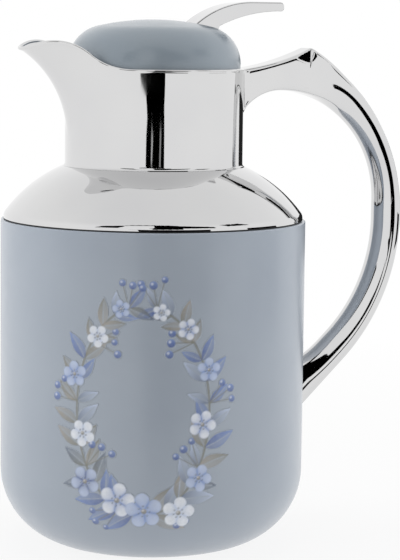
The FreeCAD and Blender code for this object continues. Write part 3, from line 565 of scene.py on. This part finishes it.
def arm_section(depth, bevel=0):
    """Evenly spaced points round the arm's section, as shares of its half depth and half width.

    The section is a rounded rectangle. The bevel cuts its two outer edges down to that depth.
    """
    angles = np.linspace(0, -math.tau, OVAL_POINTS + 1)
    power = np.where(np.cos(angles) > 0, REST_POWER, ARM_INNER_POWER)
    out = np.sign(np.cos(angles)) * np.abs(np.cos(angles)) ** (2 / power)
    aside = np.sign(np.sin(angles)) * np.abs(np.sin(angles)) ** (2 / power)
    below_top = (1 - out) / 2 * depth
    limit = 1 - BEVEL_SLOPE * np.maximum(bevel - below_top, 0) / HANDLE_HALF
    half_sizes = np.array((depth / 2, HANDLE_HALF))
    points = np.column_stack((out, np.clip(aside, -limit, limit))) * half_sizes
    return even_run(points, SECTION_POINTS) / half_sizes


def grip_section():
    """The same for the grip: round inside, with straight flanks out to the edges of a flat outer face."""
    tilt = math.radians(FLANK_TILT)
    inner = np.linspace(0, tilt, OVAL_POINTS)[:, None]
    edge = np.linspace(tilt, math.pi, OVAL_POINTS)[:, None]
    inner_round = GRIP_ROUND * np.hstack((1 - np.cos(inner), np.sin(inner)))
    flank_end = inner_round[-1] + FLANK_LENGTH * np.array((math.sin(tilt), math.cos(tilt)))
    edge_turn = np.hstack((math.cos(tilt) - np.cos(edge), np.sin(edge) - math.sin(tilt)))
    edge_round = flank_end + EDGE_ROUND * edge_turn
    depth = edge_round[-1, 0]
    half = np.vstack((inner_round, edge_round, [(depth, 0)]))
    loop = np.vstack((half[::-1] * (1, -1), half[1:]))
    half_sizes = np.array((depth / 2, half[:, 1].max()))
    return even_run(loop - (depth / 2, 0), SECTION_POINTS) / half_sizes


def set_section(shares, outer, inner, half):
    """A section's points between a point of the outer line and one of the inner line."""
    side = (outer + inner) / 2 + (outer - inner) / 2 * shares[:, :1]
    return np.column_stack((side[:, 0], half * shares[:, 1], side[:, 1]))


def ease(share):
    """A smooth step from 0 to 1."""
    share = np.clip(share, 0, 1)
    return share * share * (3 - 2 * share)


def root_half(x):
    """Half the arm's width: seen from above, it widens in hollow curves on to the neck."""
    wide = HANDLE_HALF + HANDLE_FLARE
    flare_end = math.sqrt(NECK_RADIUS ** 2 - wide ** 2) + HANDLE_FLARE
    into = np.clip(flare_end - x, 0, HANDLE_FLARE)
    return wide - np.sqrt(HANDLE_FLARE ** 2 - into ** 2)


def root_section(shares, x):
    """The arm's section near the neck, with a place along the arm for each of its points."""
    outer = np.column_stack((x, rest_level(x)))
    inner = np.column_stack((x, root_level(x)))
    return set_section(shares, outer, inner, root_half(x))


def root_end(shares, radius):
    """Where each line along the root reaches that radius from the neck's axis."""
    x = np.full(SECTION_POINTS, radius)
    for _ in range(ROOT_PASSES):
        aside = root_section(shares, x)[:, 1]
        x = (x + np.sqrt(radius ** 2 - aside ** 2)) / 2
    return x


def bar_ring(outer, inner, past, grip_shares):
    """A ring of the bar. Past the peak, the arm's section turns into the grip's and draws inwards."""
    bevel_run = BEVEL_BEFORE if past < 0 else BEVEL_AFTER
    bevel = BEVEL_HEIGHT * (1 - abs(past) / bevel_run)
    depth = np.hypot(*(outer - inner))
    change = ease(past / GRIP_EASE)
    inward = (inner - outer) / depth * change
    arm_shares = arm_section(depth, bevel)
    shares = arm_shares + (grip_shares - arm_shares) * change
    return set_section(shares, outer + OUTER_INSET * inward, inner + INNER_INSET * inward, HANDLE_HALF)


def make_handle():
    """The bar, as rings from the neck along the arm, round the peak and down the grip to the shell."""
    root_shares = arm_section(rest_level(ARM_START) - root_level(ARM_START))
    ends = root_end(root_shares, NECK_RADIUS)
    rings = [root_section(root_shares, root_end(root_shares, NECK_RADIUS - SUNK))]
    for number in range(ROOT_RINGS):
        rings.append(root_section(root_shares, ends + (ARM_START - ends) * number / ROOT_RINGS))
    outer_line, inner_line = side_lines()
    past_peak = np.cumsum(np.hypot(*np.diff(outer_line, axis=0, prepend=outer_line[:1]).T))
    past_peak -= past_peak[np.argmax(outer_line[:, 1])]
    grip_shares = grip_section()
    rings += [bar_ring(*place, grip_shares) for place in zip(outer_line, inner_line, past_peak)]

    # The foot's end follows the shell's round wall
    last = rings[-1]
    for radius in (SHELL_RADIUS, SHELL_RADIUS - SUNK):
        slide = last[:, 0] - np.sqrt(radius ** 2 - last[:, 1] ** 2)
        rings.append(last - np.column_stack((slide, np.zeros(SECTION_POINTS), slide)))
    faces = ring_faces(len(rings), SECTION_POINTS, closed=False)
    handle = mesh_piece("handle_bar", np.vstack(rings), faces, "pot", bright)
    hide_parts("handle")


# Return spring of the valve: a wire coil with closed ends, which shortens as the valve lifts

COIL_TOP = 208.0
COIL_FOOT = 176.5
COIL_RADIUS = 5.5
COIL_TURNS = 7
COIL_STEPS = 36
WIRE_RADIUS = 0.5
WIRE_POINTS = 10


def make_spring():
    """The wire, as a ring of points at each step along the coil."""
    turns = np.linspace(0, COIL_TURNS, COIL_TURNS * COIL_STEPS + 1)
    angles = math.tau * turns
    low = COIL_FOOT + WIRE_RADIUS
    high = COIL_TOP - WIRE_RADIUS
    closed = 2 * WIRE_RADIUS
    levels = np.interp(turns, (0, 1, COIL_TURNS - 1, COIL_TURNS),
                       (low, low + closed, high - closed, high))
    points = []
    for angle, level in zip(angles, levels):
        outward = np.array((math.cos(angle), math.sin(angle), 0))
        centre = outward * COIL_RADIUS + np.array((0, 0, level))
        for number in range(WIRE_POINTS):
            around = -math.tau * number / WIRE_POINTS
            offset = outward * math.cos(around) + np.array((0, 0, math.sin(around)))
            points.append(centre + offset * WIRE_RADIUS)
    faces = ring_faces(len(turns), WIRE_POINTS, closed=False)
    coil = mesh_piece("spring_coil", points, faces, "stopper", steel)
    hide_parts("return_spring")
    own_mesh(coil)


# Print on the shell: a wreath of leaves, blossoms and berries in thin washes

SHELL_CORNER = 36.5
SHELL_BOTTOM = 0.8
PRINT_STEP = 0.45
PRINT_WIDTH = 96.0
PRINT_HEIGHT = 134.0
PRINT_MIDDLE = 76.0
PRINT_LIFT = 0.03
PRINT_SUNK = -0.07
PRINT_EDGE = 0.5
PRINT_TURNS = {"print_front": -112, "print_back": -232}
INK_LIMIT = 0.02
TINY = 0.001

# Wreath: angles in degrees, and pairs between which a chance value lies
WREATH_SEED = 5
WREATH_ACROSS = 31.0
WREATH_UP = 48.0
BRANCH_HALF = 0.55
BRANCH_INSIDE = 0.5
BRANCH_TOP = 0.97
BRANCH_START = -82
BRANCH_SWEEP = 160
LEAVES = 14
LEAF_LEAN = (32, 58)
LEAF_LENGTH = (13, 18)
LEAF_TAPER = 0.3
LEAF_WIDTH = 0.38
LEAF_BEND = (-0.15, 0.15)
SPRIG_EVERY = 3
SPRIG_LEAN = 62
SPRIG_FAN = (-24, 0, 24)
SPRIG_LENGTH = (10, 14)
STALK_WIDTH = 0.5
BERRY_RADIUS = (1.4, 1.9)

# Forms of leaf and blossom
LEAF_FULLNESS = 0.85
LEAF_RIM = 0.5
VEIN_WIDTH = 0.3
VEIN_END = 0.85
PETALS = 5
PETAL_ROOT = 0.58
PETAL_LOBE = 0.42
PETAL_ROUNDNESS = 0.6
PETAL_RIM = 0.4
HEART_FADE = 1.6
HEART_RADIUS = 0.15
STAMENS = 7
STAMEN_RING = 0.3
STAMEN_RADIUS = 0.4

# Strengths of the washes
LEAF_WASH = 0.66
LEAF_RIM_WASH = 0.3
LEAF_SIDE_WASH = 0.14
VEIN_LIFT = 0.5
STALK_WASH = 0.85
BERRY_WASH = 0.95
SPOT_WASH = 0.6
PETAL_WASH = 0.94
PETAL_RIM_WASH = 0.35
HEART_STAIN = 0.8
SEAM_STAIN = 0.7

WHITE = srgb(232, 235, 240)[:3]
PALE = srgb(188, 200, 224)[:3]
MID_BLUE = srgb(112, 137, 192)[:3]
DEEP_BLUE = srgb(64, 84, 141)[:3]
OLIVE = srgb(118, 118, 106)[:3]
TAUPE = srgb(160, 153, 143)[:3]
SLATE = srgb(84, 97, 118)[:3]
LEAF_INKS = ((OLIVE, TAUPE), (SLATE, PALE), (DEEP_BLUE, MID_BLUE), (OLIVE, SLATE), (TAUPE, OLIVE))

# Each blossom: its branch, place in degrees, distance outwards, radius and two inks
BLOSSOMS = (
    (1, -38, 2, 6.4, PALE, MID_BLUE),
    (1, -62, 5, 7.6, WHITE, PALE),
    (-1, -66, -3, 8.2, WHITE, MID_BLUE),
    (-1, -40, 4, 7.2, PALE, DEEP_BLUE),
    (1, -88, -2, 8.6, PALE, MID_BLUE),
    (-1, -14, -2, 6.2, WHITE, PALE),
    (1, -8, -3, 6.6, WHITE, MID_BLUE),
    (1, 22, 2, 5.6, PALE, MID_BLUE),
    (-1, 18, 3, 6.0, PALE, MID_BLUE),
    (-1, 46, -1, 5.2, WHITE, PALE),
    (1, 50, 1, 5.0, WHITE, MID_BLUE),
    (-1, 72, 1, 4.2, PALE, MID_BLUE),
    (1, 74, -1, 4.0, WHITE, PALE),
)


def inside_of(margin):
    """Soft edge of a shape from the distance inside its outline."""
    return np.clip(margin / PRINT_EDGE + 0.5, 0, 1)


def blend(share, first, last):
    """Colours that run from the first to the last."""
    share = np.clip(share, 0, 1)[..., None]
    return np.asarray(first) * (1 - share) + np.asarray(last) * share


class Washes:
    """Thin washes of colour laid over each other on a grid, in millimetres across and up."""

    def __init__(self):
        across = np.arange(-PRINT_WIDTH / 2, PRINT_WIDTH / 2, PRINT_STEP)
        up = np.arange(-PRINT_HEIGHT / 2, PRINT_HEIGHT / 2, PRINT_STEP)
        self.across, self.up = np.meshgrid(across, up)
        self.ink = np.zeros((*self.across.shape, 3))
        self.cover = np.zeros(self.across.shape)

    def lay(self, strength, colour):
        """Put one wash on top of the others."""
        strength = np.clip(strength, 0, 1)
        thick = strength[..., None]
        self.ink = self.ink * (1 - thick) + np.asarray(colour) * thick
        self.cover = self.cover * (1 - strength) + strength

    def stroke_frame(self, x, y, angle, length):
        """Share of the way along a stroke, and the distance to its left."""
        right = self.across - x
        rise = self.up - y
        along = (right * math.cos(angle) + rise * math.sin(angle)) / length
        aside = rise * math.cos(angle) - right * math.sin(angle)
        return along, aside

    def leaf(self, x, y, angle, length, width, bend, root_ink, tip_ink):
        """A bent leaf, darker at its rim and on one side, with a pale vein."""
        along, aside = self.stroke_frame(x, y, angle, length)
        share = np.clip(along, 0, 1)
        aside = aside - bend * length * share ** 2
        margin = width / 2 * np.sin(math.pi * share ** LEAF_FULLNESS) - np.abs(aside)
        inside = inside_of(margin) * (along > 0) * (along < 1)
        strength = LEAF_WASH + LEAF_RIM_WASH * np.exp(-margin / LEAF_RIM)
        strength += LEAF_SIDE_WASH * np.sign(aside)
        strength -= VEIN_LIFT * np.exp(-(aside / VEIN_WIDTH) ** 2) * (share < VEIN_END)
        self.lay(inside * strength, blend(share, root_ink, tip_ink))

    def stalk(self, x, y, angle, length, width, ink):
        along, aside = self.stroke_frame(x, y, angle, length)
        inside = inside_of(width / 2 - np.abs(aside)) * (along > 0) * (along < 1)
        self.lay(inside * STALK_WASH, ink)

    def disc(self, x, y, radius, ink, shade):
        """A round berry, darker below and with a pale spot."""
        right = self.across - x
        rise = self.up - y
        margin = radius - np.hypot(right, rise)
        self.lay(inside_of(margin) * BERRY_WASH, blend(0.5 - rise / radius / 2, ink, shade))
        third = radius / 3
        spot = third - np.hypot(right + third, rise - third)
        self.lay(inside_of(spot) * SPOT_WASH, WHITE)

    def blossom(self, x, y, radius, turn, light, dark):
        """Five round petals, stained from the heart and between the petals."""
        right = self.across - x
        rise = self.up - y
        off = np.hypot(right, rise)
        lobe = np.abs(np.cos(PETALS / 2 * (np.arctan2(rise, right) - turn)))
        margin = radius * (PETAL_ROOT + PETAL_LOBE * lobe ** PETAL_ROUNDNESS) - off
        heart = np.clip(1 - off / radius, 0, 1) ** HEART_FADE
        stain = HEART_STAIN * heart + SEAM_STAIN * (1 - lobe) ** 2
        self.lay(inside_of(margin) * PETAL_WASH, blend(stain, light, dark))
        self.lay(inside_of(margin) * PETAL_RIM_WASH * np.exp(-margin / PETAL_RIM), dark)
        self.disc(x, y, radius * HEART_RADIUS, TAUPE, OLIVE)
        for number in range(STAMENS):
            angle = turn + number * math.tau / STAMENS
            stamen_x = x + radius * STAMEN_RING * math.cos(angle)
            stamen_y = y + radius * STAMEN_RING * math.sin(angle)
            self.disc(stamen_x, stamen_y, STAMEN_RADIUS, SLATE, SLATE)


def wreath_place(angle, side):
    """A point on the wreath's ring and the direction in which its branch grows there."""
    x = WREATH_ACROSS * math.cos(angle)
    y = WREATH_UP * math.sin(angle)
    heading = math.atan2(WREATH_UP * math.cos(angle), -WREATH_ACROSS * math.sin(angle))
    return side * x, y, heading if side > 0 else math.pi - heading


def paint_wreath():
    """Two branches that rise from the foot, with leaves, berries and blossoms along them."""
    washes = Washes()
    chance = random.Random(WREATH_SEED)

    # The two branches
    ring = np.hypot(washes.across / WREATH_ACROSS, washes.up / WREATH_UP)
    steep = np.hypot(washes.across / WREATH_ACROSS ** 2, washes.up / WREATH_UP ** 2)
    off_ring = np.abs(ring - 1) * ring / np.maximum(steep, TINY)
    on_branch = (ring > BRANCH_INSIDE) & (washes.up < WREATH_UP * BRANCH_TOP)
    washes.lay(inside_of(BRANCH_HALF - off_ring) * on_branch * STALK_WASH, OLIVE)

    # Leaves in pairs, and sprigs of berries between them
    for side in (1, -1):
        for number in range(LEAVES):
            share = number / (LEAVES - 1)
            x, y, heading = wreath_place(math.radians(BRANCH_START + BRANCH_SWEEP * share), side)
            for lean in (1, -1):
                angle = heading + lean * side * math.radians(chance.uniform(*LEAF_LEAN))
                length = chance.uniform(*LEAF_LENGTH) * (1 - LEAF_TAPER * share)
                inks = chance.choice(LEAF_INKS)
                bend = chance.uniform(*LEAF_BEND)
                washes.leaf(x, y, angle, length, length * LEAF_WIDTH, bend, *inks)
            if number % SPRIG_EVERY == 1:
                lean = 1 if number % 2 else -1
                for spread in SPRIG_FAN:
                    angle = heading - lean * side * math.radians(SPRIG_LEAN + spread)
                    length = chance.uniform(*SPRIG_LENGTH)
                    washes.stalk(x, y, angle, length, STALK_WIDTH, OLIVE)
                    end_x = x + length * math.cos(angle)
                    end_y = y + length * math.sin(angle)
                    washes.disc(end_x, end_y, chance.uniform(*BERRY_RADIUS), MID_BLUE, DEEP_BLUE)

    # Blossoms, largest at the foot of the wreath
    for side, degrees, aside, radius, light, dark in BLOSSOMS:
        angle = math.radians(degrees)
        x, y, _ = wreath_place(angle, side)
        x += aside * math.cos(angle) * side
        y += aside * math.sin(angle)
        washes.blossom(x, y, radius, chance.uniform(0, math.tau), light, dark)
    return washes


def shell_point(degrees, across, up, lift):
    """A point that far off the shell, from its place on the flat print."""
    corner_height = SHELL_BOTTOM + SHELL_CORNER
    angle = math.radians(degrees) + across / SHELL_RADIUS
    height = PRINT_MIDDLE + up
    bend = max(corner_height - height, 0) / SHELL_CORNER
    reach = SHELL_RADIUS - SHELL_CORNER + (SHELL_CORNER + lift) * math.cos(bend)
    level = max(height, corner_height) - (SHELL_CORNER + lift) * math.sin(bend)
    return (reach * math.cos(angle), reach * math.sin(angle), level)


def inked_cells(cover):
    """Cells of the grid with ink at a corner, filled in where two would meet at a corner only."""
    inked = cover > INK_LIMIT
    cells = inked[:-1, :-1] | inked[1:, :-1] | inked[:-1, 1:] | inked[1:, 1:]
    low_left, low_right = cells[:-1, :-1], cells[:-1, 1:]
    high_left, high_right = cells[1:, :-1], cells[1:, 1:]
    while True:
        rising = low_left & high_right & ~low_right & ~high_left
        falling = low_right & high_left & ~low_left & ~high_right
        if not (rising | falling).any():
            return cells
        low_right |= rising
        low_left |= falling


def film_walls(faces, count):
    """Faces along the film's edges, from its top to the points below, numbered from count on."""
    edges = [edge for face in faces for edge in zip(face, face[1:] + face[:1])]
    known = set(edges)
    return [(end, start, start + count, end + count) for start, end in edges if (end, start) not in known]


def make_prints():
    """Two thin closed films that carry the same wreath as a colour attribute."""
    washes = paint_wreath()
    cells = inked_cells(washes.cover)
    corners = {}
    faces = []
    for row, column in np.argwhere(cells):
        face = []
        for down, right in ((0, 0), (0, 1), (1, 1), (1, 0)):
            corner = (row + down, column + right)
            face.append(corners.setdefault(corner, len(corners)))
        faces.append(face)
    spots = np.array(list(corners))
    cover = washes.cover[spots[:, 0], spots[:, 1]]
    ink = washes.ink[spots[:, 0], spots[:, 1]] / np.maximum(cover, TINY)[:, None]
    colours = np.tile(np.column_stack((ink, cover)), (2, 1)).astype(np.float32).ravel()
    under = [[corner + len(spots) for corner in reversed(face)] for face in faces]
    walls = film_walls(faces, len(spots))
    for name, degrees in PRINT_TURNS.items():
        points = [shell_point(degrees, washes.across[row, column], washes.up[row, column], lift)
                  for lift in (PRINT_LIFT, PRINT_SUNK) for row, column in spots]
        film = mesh_piece(name, points, faces + under + walls, "pot", printed_paint)
        for wall in film.data.polygons[-len(walls):]:
            wall.use_smooth = False
        layer = film.data.color_attributes.new(INK, "FLOAT_COLOR", "POINT")
        layer.data.foreach_set("color", colours)


make_neck()
make_handle()
make_spring()
make_prints()


# Stage: floor, light and camera

# The camera, fitted to the photo
VIEW_TURN = math.radians(20)
VIEW_PITCH = math.radians(6.91)
VIEW_ROLL = math.radians(0.64)
CAMERA_SIDE = 22.8 * MM
CAMERA_BACK = 1019.4 * MM
CAMERA_HEIGHT = 250.9 * MM
FRAME_LONG_SIDE = 560
FOCAL_PIXELS = 2132
SENSOR = 36
VIEW_LIMIT = 20

# Level directions of the view, and up
RIGHT = Vector((math.cos(VIEW_TURN), -math.sin(VIEW_TURN), 0))
AWAY = Vector((math.sin(VIEW_TURN), math.cos(VIEW_TURN), 0))
UP = Vector((0, 0, 1))


def seen_from_camera(side, depth, height):
    """A point given to the camera's right, away from it and up, about the jug's axis."""
    return RIGHT * side + AWAY * depth + UP * height


def make_camera():
    """The photo's camera: pitched down, then rolled about its own line of sight."""
    forward = AWAY * math.cos(VIEW_PITCH) - UP * math.sin(VIEW_PITCH)
    level_up = RIGHT.cross(forward)
    right = RIGHT * math.cos(VIEW_ROLL) + level_up * math.sin(VIEW_ROLL)
    up = level_up * math.cos(VIEW_ROLL) - RIGHT * math.sin(VIEW_ROLL)
    data = bpy.data.cameras.new("camera")
    data.sensor_width = SENSOR
    data.lens = FOCAL_PIXELS * SENSOR / FRAME_LONG_SIDE
    data.clip_end = VIEW_LIMIT
    camera = bpy.data.objects.new("camera", data)
    bpy.context.collection.objects.link(camera)
    place = seen_from_camera(CAMERA_SIDE, -CAMERA_BACK, CAMERA_HEIGHT)
    axes = Matrix((right, up, -forward)).transposed()
    camera.matrix_world = Matrix.Translation(place) @ axes.to_4x4()
    bpy.context.scene.camera = camera


def flat_panel(name, centre, facing, corners, material):
    """A flat sheet of the stage that faces a direction, with its corners given about its centre."""
    mesh = bpy.data.meshes.new(name)
    mesh.from_pydata([(across, up, 0) for across, up in corners], [], [range(len(corners))])
    panel = bpy.data.objects.new(name, mesh)
    bpy.context.collection.objects.link(panel)
    panel.matrix_world = Matrix.Translation(centre) @ facing.to_track_quat("Z", "Y").to_matrix().to_4x4()
    panel.data.materials.append(material)
    return panel


def oblong(width, low, high):
    """Corners of an upright rectangle about its middle line."""
    half = width / 2
    return [(-half, low), (half, low), (half, high), (-half, high)]


def seen_directly(tree):
    """A socket that is 1 for what eye, gloss and glass see, and 0 for light that falls on things."""
    path = tree.nodes.new("ShaderNodeLightPath")
    seen = path.outputs["Is Camera Ray"]
    for ray in ("Is Glossy Ray", "Is Transmission Ray"):
        either = tree.nodes.new("ShaderNodeMath")
        either.operation = "MAXIMUM"
        tree.links.new(seen, either.inputs[0])
        tree.links.new(path.outputs[ray], either.inputs[1])
        seen = either.outputs[0]
    return seen


FLOOR_HALF = 6
FLOOR_DROP = 0.2 * MM
FLOOR_GREY = 0.86
FLOOR_GLOW = 0.55
FLOOR_NEAR = 0.86
FADE_START = 0.12
FADE_END = 0.7


def make_floor():
    """A floor that is seen as white, and less so near the jug, where it shows the shadow."""
    finish = Finish("floor", Roughness=0.9)
    finish.shader.inputs["Base Color"].default_value = (FLOOR_GREY, FLOOR_GREY, FLOOR_GREY, 1)
    tree = finish.tree
    distance = finish.node("ShaderNodeVectorMath", operation="LENGTH")
    finish.link(finish.place, distance.inputs[0])
    fade = ramp(tree, distance.outputs["Value"], From_Min=FADE_START, From_Max=FADE_END,
                To_Min=FLOOR_NEAR)
    share = ramp(tree, seen_directly(tree), To_Min=FLOOR_GLOW, To_Max=fade)
    glow = finish.node("ShaderNodeEmission", Color=(1, 1, 1, 1), Strength=1.0)
    mix = finish.node("ShaderNodeMixShader")
    finish.link(share, mix.inputs[0])
    finish.link(finish.shader.outputs[0], mix.inputs[1])
    finish.link(glow.outputs[0], mix.inputs[2])
    finish.link(mix.outputs[0], tree.nodes["Material Output"].inputs["Surface"])
    outline = oblong(2 * FLOOR_HALF, -FLOOR_HALF, FLOOR_HALF)
    flat_panel("floor", Vector((0, 0, -FLOOR_DROP)), UP, outline, finish.material)


SKY_LIGHT = 0.42
SKY_LOW = 0.4
SKY_HIGH = 0.95
SKY_OVERHEAD = 0.89


def make_world():
    """Even light, seen as white by eye and gloss, and a little greyer overhead."""
    world = bpy.data.worlds.new("studio")
    bpy.context.scene.world = world
    world.use_nodes = True
    tree = world.node_tree
    place = tree.nodes.new("ShaderNodeTexCoord")
    parts = tree.nodes.new("ShaderNodeSeparateXYZ")
    tree.links.new(place.outputs["Generated"], parts.inputs[0])
    overhead = ramp(tree, parts.outputs["Z"], From_Min=SKY_LOW, From_Max=SKY_HIGH,
                    To_Min=1.0, To_Max=SKY_OVERHEAD)
    strength = ramp(tree, seen_directly(tree), To_Min=SKY_LIGHT, To_Max=overhead)
    background = tree.nodes["Background"]
    background.inputs["Color"].default_value = (1, 1, 1, 1)
    tree.links.new(strength, background.inputs["Strength"])


def soft_box(name, centre, target, width, height, power):
    """An area lamp that gloss doesn't see."""
    data = bpy.data.lights.new(name, "AREA")
    data.shape = "RECTANGLE"
    data.size = width
    data.size_y = height
    data.energy = power
    lamp = bpy.data.objects.new(name, data)
    bpy.context.collection.objects.link(lamp)
    aim = (target - centre).to_track_quat("-Z", "Y").to_matrix().to_4x4()
    lamp.matrix_world = Matrix.Translation(centre) @ aim
    lamp.visible_glossy = False


def grey_glow(name, shade):
    """A sheet of one even grey that no lamp changes."""
    finish = Finish(name, Base_Color=(0, 0, 0, 1), Specular_IOR_Level=0)
    finish.shader.inputs["Emission Color"].default_value = (shade, shade, shade, 1)
    finish.shader.inputs["Emission Strength"].default_value = 1
    return finish.material


def show_to_gloss_only(sheet):
    sheet.visible_camera = False
    sheet.visible_diffuse = False
    sheet.visible_shadow = False
    sheet.visible_transmission = False


def card(name, corners, turn, distance, shade=0.0):
    """An upright sheet of one grey that only gloss sees, turned to the camera's right in degrees.

    Its corners are given across, towards the smaller turn, and up from the floor.
    """
    angle = math.radians(turn)
    centre = seen_from_camera(math.sin(angle) * distance, -math.cos(angle) * distance, 0)
    show_to_gloss_only(flat_panel(name, centre, -centre, corners, grey_glow(name, shade)))


def floor_card(name, corners, lift):
    """A black sheet on the floor that only gloss sees, with corners to the camera's right and away."""
    places = [seen_from_camera(side, depth, 0) for side, depth in corners]

    # A panel that faces up has its own axes turned half round
    turned = [(-place.x, -place.y) for place in places]
    show_to_gloss_only(flat_panel(name, Vector((0, 0, lift)), UP, turned, grey_glow(name, 0.0)))


LAMP_TARGET = Vector((0, 0, 0.12))

# Each lamp: its place to the right, away and up, its width, height and power
LAMPS = {
    "left_box": (-1.1, 0.1, 0.35, 0.7, 1.2, 8),
    "right_box": (1.1, 0.2, 0.35, 0.7, 1.2, 7),
    "top_box": (0, 0, 1.2, 0.9, 0.9, 4),
    "front_box": (0, -1.6, 0.7, 1.2, 0.8, 3),
}

# The dark room in front, with two gleams in it
FRONT_OUTLINE = [
    (0.33, -0.2), (-0.32, -0.2), (-0.26, 0.09), (-0.26, 0.14), (-0.25, 0.16), (-0.27, 0.18),
    (-0.28, 0.22), (0.46, 0.22), (0.46, 0.195), (0.42, 0.185), (0.27, 0.172), (0.23, 0.15),
    (0.26, 0.13), (0.27, 0.09),
]
LEFT_GLEAM = [(0.12, 0.105), (0.09, 0.1), (0.06, 0.13), (0.1, 0.142)]
RIGHT_GLEAM = [(-0.11, 0.09), (-0.15, 0.09), (-0.17, 0.138), (-0.13, 0.142)]

# The dark ceiling over the camera, with a bright gap to the left
CEILING_OUTLINE = [
    (-1.3, 0.45), (0.06, 0.45), (-0.03, 0.55), (-0.04, 0.74), (-0.06, 1.35), (0.42, 1.35), (0.5, 0.45),
    (1.0, 0.45), (0.9, 1.0), (0.5, 1.3), (0.4, 1.6), (-0.4, 1.6), (-0.5, 1.3), (-1.2, 1.0),
]

# The dark foreground on the floor
FOREGROUND_OUTLINE = [
    (0, -0.28), (0.115, -0.275), (0.23, -0.33), (0.37, -0.36), (0.72, -0.755), (0.4, -1.25),
    (-0.2, -1.25), (-0.1, -0.82), (-0.04, -0.54),
]

bpy.context.scene.view_settings.view_transform = "Standard"
make_camera()
make_floor()
make_world()
for lamp_name, (side, depth, height, *size_and_power) in LAMPS.items():
    soft_box(lamp_name, seen_from_camera(side, depth, height), LAMP_TARGET, *size_and_power)
card("card_front", FRONT_OUTLINE, turn=3, distance=1.3)
card("card_gleam_left", LEFT_GLEAM, turn=3, distance=1.28, shade=0.5)
card("card_gleam_right", RIGHT_GLEAM, turn=3, distance=1.28, shade=0.3)
card("card_above", CEILING_OUTLINE, turn=0, distance=1.1)
card("card_middle", oblong(width=0.4, low=0.235, high=0.47), turn=12, distance=1.0)
card("card_low", oblong(width=0.6, low=-0.2, high=0.1), turn=27, distance=1.0)
card("card_peak", oblong(width=0.36, low=0.6, high=1.05), turn=71, distance=1.0)
card("card_right_low", oblong(width=0.5, low=-0.1, high=0.09), turn=90, distance=0.9)
floor_card("card_table", FOREGROUND_OUTLINE, lift=1 * MM)
card("card_back", oblong(width=0.66, low=-0.1, high=0.3), turn=157, distance=1.3, shade=0.02)
